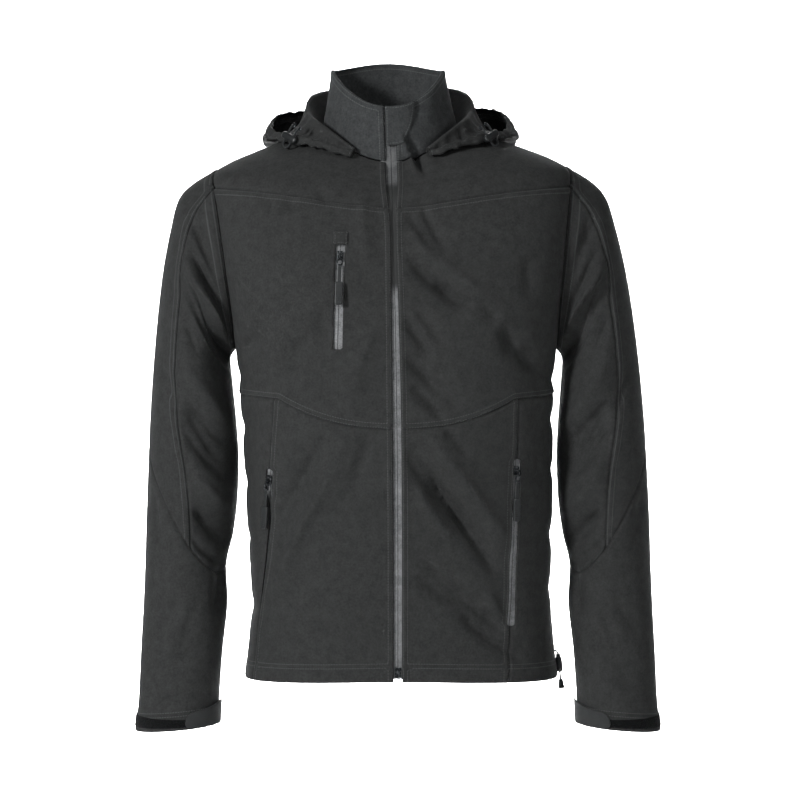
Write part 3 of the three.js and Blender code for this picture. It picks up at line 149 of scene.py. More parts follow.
# Folds: from one point to another, half width, depth (a trough is negative) and bow sideways.
FOLD = "from_x from_z to_x to_z width depth bow"
FRONT_FOLDS = table(
    FOLD,
    (8, -132, 104, -206, 17, -4, 0),
    (30, -118, 128, -196, 17, 2.5, 0),
    (4, -240, 84, -322, 16, -3, 0),
    (122, -212, 176, -276, 15, -5, 0),
    (6, -338, 134, -522, 19, -6.5, 0),
    (32, -330, 156, -500, 18, 4, 0),
    (12, -478, 166, -606, 18, -5, 0),
    (-54, -326, -172, -574, 18, 5, 0),
    (-78, -330, -170, -480, 17, -4.5, 0),
    (-110, -214, -130, -290, 16, -3, 0),
    (10, -72, 44, -118, 7, -1.7, 2),
    (8, -124, 72, -184, 7, -2.1, 3),
    (20, -186, 62, -238, 8, -1.6, 2),
    (6, -246, 54, -300, 7, -1.9, -3),
    (96, -178, 122, -206, 9, -1.8, 0),
    (150, -232, 182, -268, 7, -2.4, 2),
    (158, -120, 160, -186, 10, -1.6, 3),
    (8, -356, 66, -436, 8, -2.4, 4),
    (62, -428, 128, -524, 8, -1.8, -4),
    (14, -498, 92, -552, 8, -1.8, 3),
    (112, -584, 156, -610, 7, -1.8, 1),
    (-62, -336, -118, -436, 9, -1.8, -5),
    (-120, -432, -170, -560, 9, -1.6, 4),
    (-126, -516, -134, -546, 8, -1.4, 1),
    (-186, -240, -168, -214, 8, -2, 1),
    (-138, -266, -122, -228, 9, -1.6, 1),
    (-160, -50, -146, -78, 8, -1.5, 1),
    (-38, -40, -30, -150, 14, 1.4, 6),
    (-176, -292, -186, -410, 12, -2.2, 4),
    (178, -300, 184, -420, 12, -2.4, -5),
    (0, 26, 25, -30, 4.5, 3, 0),
    (12, 24, 38, -34, 5.5, -3, 2),
    (26, -64, 62, -126, 6.5, -3, 2),
    (14, -92, 48, -140, 6, 1.8, 2),
    (6, -200, 40, -254, 6.5, -3, -2),
    (10, -276, 62, -330, 7, -3.2, -2),
    (40, -152, 92, -196, 7, -3.4, 2),
    (56, -164, 104, -210, 6, 2, 2),
    (18, -392, 70, -468, 7, 2.4, 3),
    (34, -380, 92, -462, 7, -3, 3),
    (52, -330, 88, -366, 7, -2.4, 0),
    (100, -520, 150, -584, 8, 2.6, 2),
    (70, -546, 128, -596, 7, -3, 2),
    (126, -206, 138, -252, 7, -2.4, 2),
    (-64, 24, -48, 96, 11, -1.6, 3),
    (22, 30, 34, 100, 9, -1.4, -2),
    (52, 34, 60, 104, 9, -1.8, 2),
    (-96, -46, -80, -70, 8, -1.6, 0),
    (-132, -52, -124, -78, 9, -1.6, 0),
    (-92, -190, -70, -240, 16, -1.8, 3),
    (-18, -196, -60, -330, 15, 1.6, 8),
    (-24, -330, -52, -420, 14, -1.8, 6),
)
LARGEST_FOLDS = {name: column[:10] for name, column in FRONT_FOLDS.items()}
BACK_FOLDS = table(
    FOLD,
    (-150, -120, -44, -230, 18, -3.4, 6),
    (140, -130, 52, -252, 17, -3, -7),
    (-30, -70, -52, -210, 20, 2.4, 8),
    (36, -90, 30, -240, 22, 2, -6),
    (-168, -236, -60, -330, 15, -3.6, 7),
    (160, -250, 70, -360, 16, -3.8, -6),
    (-120, -330, 10, -396, 14, -3, 10),
    (118, -372, -14, -430, 15, -3.2, -9),
    (-160, -420, -50, -520, 18, -4.2, 8),
    (156, -440, 64, -560, 17, -4, -9),
    (-70, -500, -96, -610, 19, 3.4, 6),
    (60, -520, 92, -616, 20, 3, -5),
    (-150, -150, -96, -204, 7, -1.8, 3),
    (-140, -256, -84, -306, 7, -2, 3),
    (134, -270, 92, -330, 8, -2, -3),
    (-96, -344, -36, -376, 7, -1.8, 4),
    (94, -386, 30, -416, 7, -1.8, -4),
    (-132, -446, -80, -496, 8, -1.8, 3),
    (130, -468, 86, -530, 8, -1.8, -4),
)
# At the sides the first and third columns are azimuths
SIDE_FOLDS = table(
    FOLD,
    (70, -258, 118, -286, 9, -3.4, 4),
    (66, -318, 124, -340, 11, -3.2, -5),
    (74, -384, 112, -372, 10, -2.6, 4),
    (68, -448, 126, -474, 12, -3.2, 6),
    (78, -540, 108, -520, 12, -2.4, -4),
    (-72, -262, -120, -292, 9, -3, 4),
    (-64, -330, -118, -322, 11, -3.2, -5),
    (-70, -396, -126, -414, 12, -2.8, 5),
    (-74, -470, -112, -452, 10, -2.6, -4),
    (-68, -548, -122, -560, 12, -2.6, 4),
)
SLEEVE_FRONT_FOLDS = table(
    FOLD,
    (252, -66, 198, -186, 15, -5, 0),
    (258, -112, 196, -240, 15, 4, 0),
    (262, -150, 194, -288, 15, -5, 0),
    (262, -240, 196, -352, 16, 4, 0),
    (264, -300, 198, -392, 16, -5, 0),
    (256, -372, 200, -446, 15, 4.5, 0),
    (252, -424, 202, -486, 14, -4, 0),
    (241, -66, 198, -174, 6, -4.6, -2),
    (247, -92, 205, -178, 5.5, 2.2, 0),
    (253, -110, 195, -216, 6, -4.2, 2),
    (255, -134, 196, -236, 6, 2.4, 2),
    (252, -146, 188, -270, 6, -4, -2),
    (256, -176, 192, -288, 6.5, 2.6, 0),
    (262, -196, 236, -252, 7, -2, 2),
    (262, -296, 200, -362, 6, -3.4, 2),
    (264, -330, 204, -392, 6.5, -3, -3),
    (258, -366, 198, -420, 6, 2, 2),
    (250, -428, 200, -476, 6, -3.2, 2),
    (256, -458, 206, -504, 6.5, -2.8, -2),
    (214, -486, 224, -572, 9, -3.4, 4),
    (288, -250, 268, -330, 9, -2, 3),
    (238, -536, 262, -604, 8, -1.8, -3),
    (300, -402, 284, -486, 9, -1.8, -3),
    (262, -520, 300, -590, 14, -2, 6),
    (232, -590, 290, -650, 15, -1.8, -6),
)
SLEEVE_BACK_FOLDS = table(
    FOLD,
    (250, -80, 208, -190, 14, -4.4, 4),
    (262, -150, 206, -264, 15, 3.4, -4),
    (268, -220, 204, -318, 13, -4.6, 5),
    (290, -360, 214, -404, 11, -4.4, 6),
    (296, -404, 216, -436, 11, 3, -5),
    (298, -446, 214, -470, 11, -4.6, -6),
    (296, -496, 222, -500, 11, 2.8, 4),
    (292, -540, 222, -526, 11, -3.8, -5),
    (286, -604, 236, -570, 13, -2.4, 4),
    (280, -350, 238, -378, 6, -1.8, 2),
    (286, -462, 240, -478, 6, -1.8, 2),
)

# The share of a sharper crest in each fold, and how much deeper the smaller folds are
SHARP = dict(front=0.6, back=0.3, sleeve=0.5, sleeve_back=0.2)
FRONT_DEEPER = 1.8
SLEEVE_DEEPER = 1.5

# Sections of the folded hood by azimuth from the centre front: distances down the body from the
# neck seam (run) and off it (up) of its crest, floor, bottom, belly and rim.
HOOD_SECTIONS = table(
    "azimuth crest_run crest_up crest_rise floor_run floor_up bottom_run bottom_up"
    " belly_run belly_up rim_run rim_up",
    (33, 3, 9, 0, 6, 5, 9, 5, 13, 6.5, 12, 11),
    (52, 4, 15, 0, 14, 5, 22, 5, 29, 8, 28, 16),
    (72, 5, 22, 0, 25, 5, 39, 5, 52, 11, 45, 26),
    (90, 5, 28, 0, 34, 5, 51, 5.5, 67, 15, 56, 34),
    (118, 5, 48, 9, 48, 5, 76, 7, 90, 28, 44, 64),
    (146, 5, 55, 26, 62, 5, 104, 9, 104, 44, 12, 87),
    (180, 5, 40, 32, 72, 5, 126, 11, 110, 50, 8, 80),
)
HOOD_FRONT = 33
HOOD_SIDE_SEAM = 146
HOOD_SAG = dict(left=16, right=15, azimuth=82, spread=20)  # the rim hangs lower over the shoulders
HOOD_RIM_SHARE = 0.12  # of a section, with finer cells
CASING = 13  # the drawcord's casing along the hood's rim

# Pockets: each zip's window by its two ends, how far below its top the slider is parked, how far
# its line bows towards the middle, the half width that the cloth leaves open below the slider,
# and how much of its head has no topstitching round it
WINDOW_HALF = 5.5
CHEST_POCKET = dict(name="chest", side=-1, top_x=62, top_z=-99, foot_x=69, foot_z=-238)
CHEST_POCKET.update(parked=28, bow=0, gap=WINDOW_HALF, bare=10)
LEFT_POCKET = dict(name="hand_left", side=1, top_x=142, top_z=-368, foot_x=132.5, foot_z=-568)
LEFT_POCKET.update(parked=14, bow=0, gap=WINDOW_HALF, bare=-40)
RIGHT_POCKET = dict(name="hand_right", side=-1, top_x=154.5, top_z=-379, foot_x=173, foot_z=-570)
RIGHT_POCKET.update(parked=14, bow=6, gap=1.6, bare=-40)
GARAGE = dict(width=18, length=17, below=7, thick=1.2)

# Zips: across a tape, the distances of its points from the middle
POCKET_TAPE = np.array([0.2, 0.5, 1.4, 2.4, 3.2, 5.5, 8.5])
FRONT_TAPE = np.array([0.2, 0.5, 1.4, 2.4, 3.2, 4.6, 6.6, 9, 13])

# The slider with the posts and pin of its bridge above the tape's face, and what hangs from it
PIN_UP = 5.6
SLIDER = dict(width=7.6, length=11, thick=2.8, corner=2.2, edge=0.8, crown=0.2, at=(0, 0, 1.7))
POST = dict(width=1, length=2.6, thick=4.3, corner=0.35, edge=0.25)
PIN = dict(half=1.8, radius=0.6)
EYE = dict(outer=1.9, inner=1.05, half=1, edge=0.2)
ARM = dict(width=2, length=5, corner=0.5, edge=0.35)
RING_HOLE = dict(width=3.4, length=4.4, down=0.4)
LINK_TOP = -4.3
LINK = dict(width=7, length=9, thick=1.4)
STRAP = dict(width=4.4, length=22, thick=1.4)
GRIP = dict(width=9.6, length=28, thick=3.2)
RIB = dict(width=6.4, length=1.1, thick=0.7, corner=0.5, edge=0.3)
RIBS_ALONG = (-8.5, -6, -3.5, -1)
FRONT_ZIP_DEPTH = COLLAR_CLOTH + 0.6
FRONT_SLIDER = dict(width=9, length=12, thick=2.2, corner=2, edge=0.6)
FRONT_PULL = dict(width=6, length=18, thick=1.6, corner=1.5, edge=0.5, at=(0, -12, 0))
FRONT_BOX = dict(width=7.6, length=12, thick=2, corner=1, edge=0.4)
METAL_GAP = 0.35

# The chin guard, and the cuffs' pieces by columns and rows of the forearm's own grid
CHIN = dict(reach=31, foot=11, past=-5.6, bottom=62, thick=1.6)
STRIP = dict(columns=(3, 11), rows=(6.34, 6.76), thick=1, lift=0.5)
TAB = dict(columns=(10.5, 18), rows=(5.6, 6.88), thick=1.6, lift=1.9)

# Cords and locks
CORD_RADIUS = 1.25
HOOD_LOCK = dict(share=0.9, length=26, width=9, thick=6.4, spread=5.6, up=3.4)
HOOD_LOCK.update(bore=2.2, lip=0.6, eyelet=2.3, eyelet_wire=0.8, eyelet_away=6.2, eyelet_up=0.7)
HOOD_LOCK_AZIMUTH = 68
HEM_LOCK = dict(level=-620, length=18, width=10.5, thick=8, up=4.4, drop=25, bore=2.3, lip=0.6)
BELL_LENGTH = 11
BELL_GRIP = 6
BELL = table(
    "height radius",
    (BELL_GRIP + 0.4, 1.9),
    (BELL_GRIP, 2.7),
    (BELL_GRIP - 2, 3.0),
    (0, 3.5),
    (-2, 3.9),
    (BELL_GRIP + 0.6 - BELL_LENGTH, 4.5),
    (BELL_GRIP - BELL_LENGTH, 3.9),
)
CORD_SIDES = 12


# The camera and the studio
CAMERA_AT = (2.5, -2600, -297.6)
LENS = 94.35
SENSOR = 36
FLOOR = -1300
WALL = 3600
WALL_CURVE = 900
ROOM_REACH = 5000
ROOM_TOP = 4200
JACKET_MIDDLE = (0, 0, -0.3)  # in metres, as the lights are
WORLD_LIGHT = 0.12

# Curves and tables


def between(a, b, t):
    """A share of the way from one value to another."""
    return a + (b - a) * t


def smooth(start, end, x):
    """An ease from 0 at one value to 1 at another."""
    t = np.clip((x - start) / (end - start), 0, 1)
    return t * t * (3 - 2 * t)


def bell(x, width):
    """A bell, 1 in the middle and a third at its width."""
    return np.exp(-((x / width) ** 2))


def cubic(start, end, leave, arrive, t):
    """The cubic from one value to another over 0 to 1 that leaves and arrives at two slopes."""
    return between(start, end, t * t * (3 - 2 * t)) + t * (1 - t) ** 2 * leave + t * t * (t - 1) * arrive


def track(rows, key, column, at):
    """A column of a table at a key: between two rows, the cubic that passes through both and
    leaves and arrives with the mean slope of their neighbours."""
    k, y = rows[key], rows[column]
    before, after = np.r_[0, np.arange(len(k) - 1)], np.r_[np.arange(1, len(k)), len(k) - 1]
    slope = (y[after] - y[before]) / (k[after] - k[before])
    i = np.searchsorted(k[1:-1], at)
    span = k[i + 1] - k[i]
    t = np.clip((at - k[i]) / span, 0, 1)
    return cubic(y[i], y[i + 1], span * slope[i], span * slope[i + 1], t)


def fold_height(folds, x, z, sharp=0):
    """The sum of all folds at a place. Each is its depth times a bell of the distance from its
    line, and a share of a sharper one. The line bows sideways in the middle, and the fold fades
    over the ends of its length."""
    height = np.zeros(np.broadcast(x, z).shape)
    for from_x, from_z, to_x, to_z, width, depth, bow in zip(*folds.values()):
        run_x, run_z = to_x - from_x, to_z - from_z
        length = math.hypot(run_x, run_z)
        along = ((x - from_x) * run_x + (z - from_z) * run_z) / length**2
        aside = ((x - from_x) * run_z - (z - from_z) * run_x) / length
        aside = aside - bow * np.sin(np.pi * np.clip(along, 0, 1))
        form = bell(aside, width) + sharp * bell(aside, width / 3)
        height += depth * smooth(0, 0.3, along) * smooth(1, 0.6, along) * form
    return height


# The body


def lean(z):
    """How far the body leans to the wearer's right towards the neck."""
    return -13 * np.clip((z + 500) / 620, 0, 1) ** 2


def shoulder_drop(level, sine):
    """The wearer's right shoulder hangs 4 mm lower, fading up and down the body."""
    return 4 * np.clip(-sine, 0, 1) * bell(level + 8, 40)


def body_base(azimuth, level):
    """A superellipse round the body at each level, its height easing from the side's to that of
    the centre front or back, leaned to one side towards the neck."""
    s, c = np.sin(np.radians(azimuth)), np.cos(np.radians(azimuth))
    at = {name: track(RINGS, "level", name, level) for name in RINGS if name != "level"}
    depth = np.where(c > 0, at["front"], at["back"])
    reach = (np.abs(s) / at["half"]) ** at["square"] + (np.abs(c) / depth) ** at["square"]
    reach = reach ** (-1 / at["square"])
    z = between(at["side_z"], np.where(c > 0, at["front_z"], at["back_z"]), np.abs(c) ** 1.6)
    z = z - shoulder_drop(level, s)
    shift = 4 * np.clip((-300 - z) / 250, 0, 1)
    return np.stack([reach * s + lean(z) + shift * s * s, -reach * c, z], -1)


def unit(v):
    """Vectors at length 1."""
    return v / np.maximum(np.linalg.norm(v, axis=-1, keepdims=True), 1e-12)


def normal_of(surface, a, b, step_a, step_b, outward):
    """The cross product of the differences across each parameter, turned outwards."""
    normal = np.cross(
        surface(a + step_a, b) - surface(a - step_a, b), surface(a, b + step_b) - surface(a, b - step_b)
    )
    return unit(normal * np.sign(np.sum(normal * outward, -1, keepdims=True)))


def body_normal(azimuth, level):
    turn = np.radians(azimuth)
    outward = np.stack([np.sin(turn), -np.cos(turn), 0.3 + 0 * turn], -1)
    return normal_of(body_base, azimuth, level, 1, 1, outward)


def pocket_x(pocket, z):
    """A pocket's distance from the middle at a height: straight from its foot to its top, less
    its bow, which is widest half way."""
    share = (z - pocket["foot_z"]) / (pocket["top_z"] - pocket["foot_z"])
    bow = pocket["bow"] * np.sin(np.pi * np.clip(share, 0, 1)) ** 2
    return between(pocket["foot_x"], pocket["top_x"], share) - bow


def calm_at_zips(x, z):
    """How much of the smaller folds is left at a place: none along the pockets' zips."""
    calm = 1
    for pocket in (CHEST_POCKET, LEFT_POCKET, RIGHT_POCKET):
        near = bell(x - pocket["side"] * pocket_x(pocket, z) - lean(z), 13)
        near = near * smooth(pocket["top_z"] + 26, pocket["top_z"] + 10, z)
        calm = calm * (1 - near * smooth(pocket["foot_z"] - 26, pocket["foot_z"] - 10, z))
    return calm


def seat_point(azimuth, level):
    """The body's surface with its largest folds alone, which the hard pieces sit on."""
    point, normal = body_base(azimuth, level), body_normal(azimuth, level)
    ahead = smooth(0.15, 0.6, np.cos(np.radians(azimuth)))
    height = ahead * fold_height(LARGEST_FOLDS, point[..., 0], point[..., 2])
    return point + normal * height[..., None], normal


def body_point(azimuth, level):
    """The body's surface with its folds, and the direction out of it."""
    azimuth, level = np.broadcast_arrays(np.asarray(azimuth, float), np.asarray(level, float))
    point, normal = body_base(azimuth, level), body_normal(azimuth, level)
    x, z = point[..., 0], point[..., 2]
    ahead = np.cos(np.radians(azimuth))
    large = fold_height(LARGEST_FOLDS, x, z)
    every = fold_height(FRONT_FOLDS, x, z, SHARP["front"])
    height = smooth(0.15, 0.6, ahead) * between(large, every, FRONT_DEEPER * calm_at_zips(x, z))
    height += smooth(0.15, 0.6, -ahead) * fold_height(BACK_FOLDS, x, z, SHARP["back"])
    turned = np.mod(azimuth + 180, 360) - 180
    aside = smooth(0.7, 0.3, np.abs(ahead))
    height += aside * fold_height(SIDE_FOLDS, turned, z)
    return point + normal * height[..., None], normal


def azimuth_at(level, x):
    """The azimuth of the front's point at a distance from the middle."""
    half, square, front = (track(RINGS, "level", name, level) for name in ("half", "square", "front"))
    return np.degrees(np.arctan2(x, front * (1 - (np.abs(x) / half) ** square) ** (1 / square)))


def zip_azimuth(level):
    """The azimuth of the front's edge beside the zip."""
    return azimuth_at(level, track(ZIP_OPENING, "level", "half", level))


def armhole(turn):
    """The armhole's azimuth and level at a turn of the sleeve: 0 at its top, 90 at its front."""
    s, c = np.sin(np.radians(turn)), np.cos(np.radians(turn))
    swing = np.where(s > 0, ARM_FRONT_DEG, ARM_BACK_DEG)
    return 90 - swing * s, between(ARM_FOOT, ARM_TOP, (1 + c) / 2)


# The sleeves


def sleeve_knot(side, k, turn):
    """A section's point: an ellipse tilted in the front view, or the armhole's own for k = 0."""
    ring = np.clip(k, 1, SLEEVE_END) - 1
    s, c = np.sin(np.radians(turn)), np.cos(np.radians(turn))
    at = {name: column[ring] for name, column in SLEEVE_RINGS.items()}
    x = (at["out_x"] + at["in_x"]) / 2 + (at["out_x"] - at["in_x"]) / 2 * c
    z = (at["out_z"] + at["in_z"]) / 2 + (at["out_z"] - at["in_z"]) / 2 * c
    below = np.stack([side * x + lean(z), at["mid_y"] - at["depth"] * s, z - shoulder_drop(z, side)], -1)
    azimuth, level = armhole(turn)
    head = body_base(side * azimuth, level) + SLEEVE_LIFT * body_normal(side * azimuth, level)
    return np.where((k > 0)[..., None], below, head)


def sleeve_base(side, turn, t):
    """A cubic through the sections, one for each whole t."""
    turn, t = np.broadcast_arrays(np.asarray(turn, float), np.clip(np.asarray(t, float), 0, SLEEVE_END))
    k = np.clip(np.floor(t).astype(int), 0, SLEEVE_END - 1)
    f = (t - k)[..., None]
    steps = [np.maximum(k - 1, 0), k, k + 1, np.minimum(k + 2, SLEEVE_END)]
    p0, p1, p2, p3 = (sleeve_knot(side, step, turn) for step in steps)
    return cubic(p1, p2, (p2 - p0) / 2, (p3 - p1) / 2, f)


def sleeve_point(side, turn, t):
    """The sleeve's surface with its folds, front and back, and the direction out of it."""
    turn, t = np.broadcast_arrays(np.asarray(turn, float), np.asarray(t, float))
    point = sleeve_base(side, turn, t)
    outward = point - sleeve_base(side, turn + 180, t)
    normal = normal_of(lambda a, b: sleeve_base(side, a, b), turn, t, 2, 0.05, outward)
    azimuth, level = armhole(turn)
    head = unit(normal + body_normal(side * azimuth, level))
    normal = np.where((t < 1e-6)[..., None], head, normal)
    s = np.sin(np.radians(turn))
    x, z = side * (point[..., 0] - lean(point[..., 2])), point[..., 2]
    height = SLEEVE_DEEPER * smooth(0, 0.5, s) * fold_height(SLEEVE_FRONT_FOLDS, x, z, SHARP["sleeve"])
    behind_x, behind_z = x + 4 * (side < 0), z + 9 * (side < 0)
    behind = smooth(0.1, 0.7, -s)
    height += behind * fold_height(SLEEVE_BACK_FOLDS, behind_x, behind_z, SHARP["sleeve_back"])
    return point + normal * (height * smooth(0.2, 1.6, t))[..., None], normal


def elbow_seam(turn):
    """How far down the sleeve its curved elbow seam runs, in sections."""
    return 8.8 - 1.4 * np.cos(np.radians(turn + 20))


# Panels of cloth


def spaced(length, cell=CELL, near=(True, True), keep=()):
    """Stops from 0 to 1 along a length: near a seam they follow its form, and between they are a
    cell apart. The nearest stop moves to each place in keep."""
    start = SEAM_STOPS if near[0] else SEAM_STOPS[:1]
    end = SEAM_STOPS if near[1] else SEAM_STOPS[:1]
    low, high = start[-1], length - end[-1]
    middle = np.linspace(low, high, max(2, int(round((high - low) / cell))) + 1)
    stops = np.concatenate([start[:-1], middle, (length - end[:-1])[::-1]]) / length
    for place in keep:
        stops[np.argmin(np.abs(stops - place))] = place
    return stops


def patch(left, right, foot, top, u, v):
    """Two parameters over a four-sided patch, blended from its four edges (Coons): the blend of
    the sides plus the blend of the ends less the blend of the corners."""
    u, v = np.meshgrid(u, v)
    a, b = u[..., None], v[..., None]
    zero, one = np.zeros_like(u), np.ones_like(u)
    sides = between(left(v), right(v), a)
    ends = between(foot(u), top(u), b)
    corners = between(between(left(zero), right(zero), a), between(left(one), right(one), a), b)
    made = sides + ends - corners
    return made[..., 0], made[..., 1]


def pair(azimuth, level):
    """Two parameters side by side, as an edge gives them."""
    azimuth, level = np.broadcast_arrays(azimuth, level)
    return np.stack([azimuth, level], -1).astype(float)


def chain(*stretches):
    """An edge along several stretches in turn, each over its own number of cells."""
    total = sum(cells for cells, _ in stretches)

    def edge(v):
        made, start = None, 0
        for cells, at in stretches:
            here = at(np.clip((v * total - start) / cells, 0, 1))
            made = here if made is None else np.where((v * total > start)[..., None], here, made)
            start += cells
        return made

    return edge


def mirrored(side, edge):
    """An edge of the wearer's left, or its mirror image."""
    return lambda v: edge(v) * np.array([side, 1])


def lengths(points, axis):
    """The distance along a grid's lines from their start."""
    step = np.linalg.norm(np.diff(points, axis=axis), axis=-1)
    pad = np.zeros_like(np.take(step, [0], axis=axis))
    return np.concatenate([pad, np.cumsum(step, axis=axis)], axis=axis)


def edge_distance(points, edge):
    """The distance of each of a grid's points from one of its edges, square to it, and the
    distance along that edge."""
    grid = points if edge in ("left", "right") else points.swapaxes(0, 1)
    grid = grid[:, ::-1] if edge in ("right", "top") else grid
    away = lengths(grid, 1)
    way = unit(grid[:, 2] - grid[:, 0])
    line = unit(np.gradient(grid[:, 0], axis=0))
    slant = np.clip(np.linalg.norm(np.cross(way, line), axis=-1), 0.3, 1)
    away = away * slant[:, None]
    run = np.broadcast_to(lengths(grid[:, :1], 0), away.shape)
    if edge in ("right", "top"):
        away, run = away[:, ::-1], run[:, ::-1]
    return (away, run) if edge in ("left", "right") else (away.T, run.T)


def over_seam(away):
    """A seam's topstitched side: it stands proud to its far row, each row of stitches pulls a
    fine groove, and the very edge rolls in."""
    proud = 0.8 * smooth(ROW_FAR + 3, ROW_FAR, away)
    grooves = 0.35 * bell(away - ROW_NEAR, 0.7) + 0.6 * bell(away - ROW_FAR, 1.1)
    return proud - grooves - 1.7 * bell(away, 1.1)


def under_seam(away):
    """A seam's plain side dips into it."""
    return -1.5 * bell(away, 1.8)


def hem_turn(away):
    """A turned hem: the fold rolls in at the edge, and two rows of stitches hold it."""
    proud = 0.5 * smooth(HEM_TURN + 3, HEM_TURN, away)
    return proud - 0.6 * bell(away - HEM_TURN, 1.4) - 0.9 * bell(away, 1.4)


def cord_casing(away):
    """A rim turned over a drawcord: it swells over the cord and is stitched off beyond it."""
    return 1.4 * bell(away - CASING / 2, CASING / 3) - 0.9 * bell(away - CASING, 1.2) - 0.9 * bell(away, 1.4)


def free_edge(away):
    """A free turned edge: it rounds off, with one row of stitches close by."""
    return -0.7 * bell(away, 0.9) - 0.35 * bell(away - ROW_NEAR - 0.6, 0.9)


SEAM_FORMS = {
    "over": over_seam,
    "under": under_seam,
    "hem": hem_turn,
    "casing": cord_casing,
    "free": free_edge,
}
STITCHES_OUT = {"over": 0, "hem": HEM_TURN - ROW_FAR, "casing": CASING - ROW_FAR, "free": 0.6}


def hem_ripple(run):
    """The uneven pucker of a stitched row along its seam."""
    return np.sin(run / 5.3) * np.sin(run / 17.1 + 1) * 0.5 + 0.5 * np.sin(run / 9.7 + 2)


def sewn(points, normals, edges):
    """The grid with each edge's seam form. Returns the moved points, and for the topstitching
    the distance from the nearest stitched edge and along it."""
    away = np.full(points.shape[:2], FAR)
    along = np.zeros(points.shape[:2])
    height = np.zeros(points.shape[:2])
    for edge, form in edges.items():
        distance, run = edge_distance(points, edge)
        height += SEAM_FORMS[form](distance)
        if form != "under":
            height += 0.28 * hem_ripple(run) * bell(distance - ROW_FAR, 7)
            rows = distance - STITCHES_OUT[form]
            rows = np.where((form == "free") & (rows > ROW_MIDDLE), FAR, rows)
            nearer = np.abs(rows - ROW_MIDDLE) < np.abs(away - ROW_MIDDLE)
            away, along = np.where(nearer, rows, away), np.where(nearer, run, along)
    return points + normals * height[..., None], away, along


def new_mesh(name, points, faces):
    """An object at the origin from points in millimetres and faces of three or four corners."""
    mesh = bpy.data.meshes.new(name)
    points = np.asarray(points, float).reshape(-1, 3) * MM
    faces = np.asarray(faces)
    mesh.vertices.add(len(points))
    mesh.vertices.foreach_set("co", points.astype(np.float32).ravel())
    mesh.loops.add(faces.size)
    mesh.loops.foreach_set("vertex_index", faces.astype(np.int32).ravel())
    mesh.polygons.add(len(faces))
    mesh.polygons.foreach_set("loop_start", np.arange(0, faces.size, faces.shape[1], dtype=np.int32))
    mesh.update(calc_edges=True)
    mesh.validate()
    mesh.polygons.foreach_set("use_smooth", np.ones(len(mesh.polygons), bool))
    piece = bpy.data.objects.new(name, mesh)
    bpy.context.scene.collection.objects.link(piece)
    return piece


def grid_faces(rows, columns, start=0, closed=False):
    """The four-cornered faces of a grid of points, row after row."""
    j, i = np.meshgrid(np.arange(rows - 1), np.arange(columns if closed else columns - 1), indexing="ij")
    ahead = (i + 1) % columns
    corners = [j * columns + i, j * columns + ahead, (j + 1) * columns + ahead, (j + 1) * columns + i]
    return start + np.stack(corners, -1).reshape(-1, 4)


def facing(points, faces, outward):
    """The faces, turned over together if they mostly look against the outward directions."""
    a, b, d = (points[faces[:, k]] for k in (0, 1, 3))
    normal = np.cross(b - a, d - a)
    return faces if np.sum(normal * outward[faces[:, 0]]) > 0 else faces[:, ::-1]


def attribute(piece, name, values):
    """Gives each point of a piece a value that its material reads."""
    layer = piece.data.attributes.new(name, "FLOAT", "POINT")
    layer.data.foreach_set("value", np.asarray(values, np.float32).ravel())


def shell(name, points, normals, thick, away=None, along=None, closed=False):
    """A wall of cloth: the outer points, a row that rounds the rim, and the inner points one
    thickness below, joined all round. Its attributes are the distances for the topstitching,
    which goes through the wall, and the cloth's own two directions."""
    rows, columns = points.shape[:2]
    outer, inner = points.reshape(-1, 3), (points - normals * thick).reshape(-1, 3)
    both = np.concatenate([outer, inner])
    count = rows * columns
    outward = np.concatenate([normals.reshape(-1, 3)] * 2)
    top = facing(both, grid_faces(rows, columns, 0, closed), outward)
    under = top[:, ::-1] + count
    index = np.arange(count).reshape(rows, columns)
    if closed:
        loops = [np.append(index[0], index[0, 0]), np.append(index[-1], index[-1, 0])]
    else:
        loops = [np.concatenate([index[0], index[1:, -1], index[-1, -2::-1], index[-2::-1, 0]])]
    rims = []
    for loop in loops:
        a, b = loop[:-1], loop[1:]
        rims.append(np.stack([a, b, b + count, a + count], -1))
    used = {tuple(edge) for corners in ((0, 1), (1, 2), (2, 3), (3, 0)) for edge in top[:, corners]}
    rims = [rim[:, ::-1] if tuple(rim[0, :2]) in used else rim for rim in rims]
    piece = new_mesh(name, both, np.concatenate([top, under, *rims]))
    far = np.full(points.shape[:2], FAR)
    for key, values in (("stitch_away", away), ("stitch_along", along)):
        attribute(piece, key, np.tile((far if values is None else values).ravel(), 2))
    attribute(piece, "cloth_u", np.tile(lengths(points, 1).ravel(), 2))
    attribute(piece, "cloth_v", np.tile(lengths(points, 0).ravel(), 2))
    return piece


def dress(piece, node, finish, body=JACKET):
    """Puts a piece on its body in place of a node and material."""
    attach(piece, body)
    if node:
        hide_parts(node)
    piece.data.materials.append(finish)


# Materials


def linear(code):
    """A colour from its sRGB hex code."""
    parts = np.array([int(code[i : i + 2], 16) for i in (1, 3, 5)]) / 255
    made = np.where(parts <= 0.04045, parts / 12.92, ((parts + 0.055) / 1.055) ** 2.4)
    return (*made, 1.0)


def put(tree, kind, sockets=None, **settings):
    """Adds a node with its settings. A socket's value is a number, a colour or another node's
    output, which is linked."""
    made = tree.nodes.new("ShaderNode" + kind)
    for name, value in settings.items():
        setattr(made, name, value)
    for name, value in (sockets or {}).items():
        if isinstance(value, bpy.types.NodeSocket):
            tree.links.new(value, made.inputs[name])
        else:
            made.inputs[name].default_value = value
    return made


def calc(tree, operation, *values):
    """A maths node's output over one, two or three values."""
    return put(tree, "Math", dict(enumerate(values)), operation=operation).outputs[0]


def carried(tree, name):
    """A value that the mesh carries."""
    return put(tree, "Attribute", attribute_name=name).outputs["Fac"]


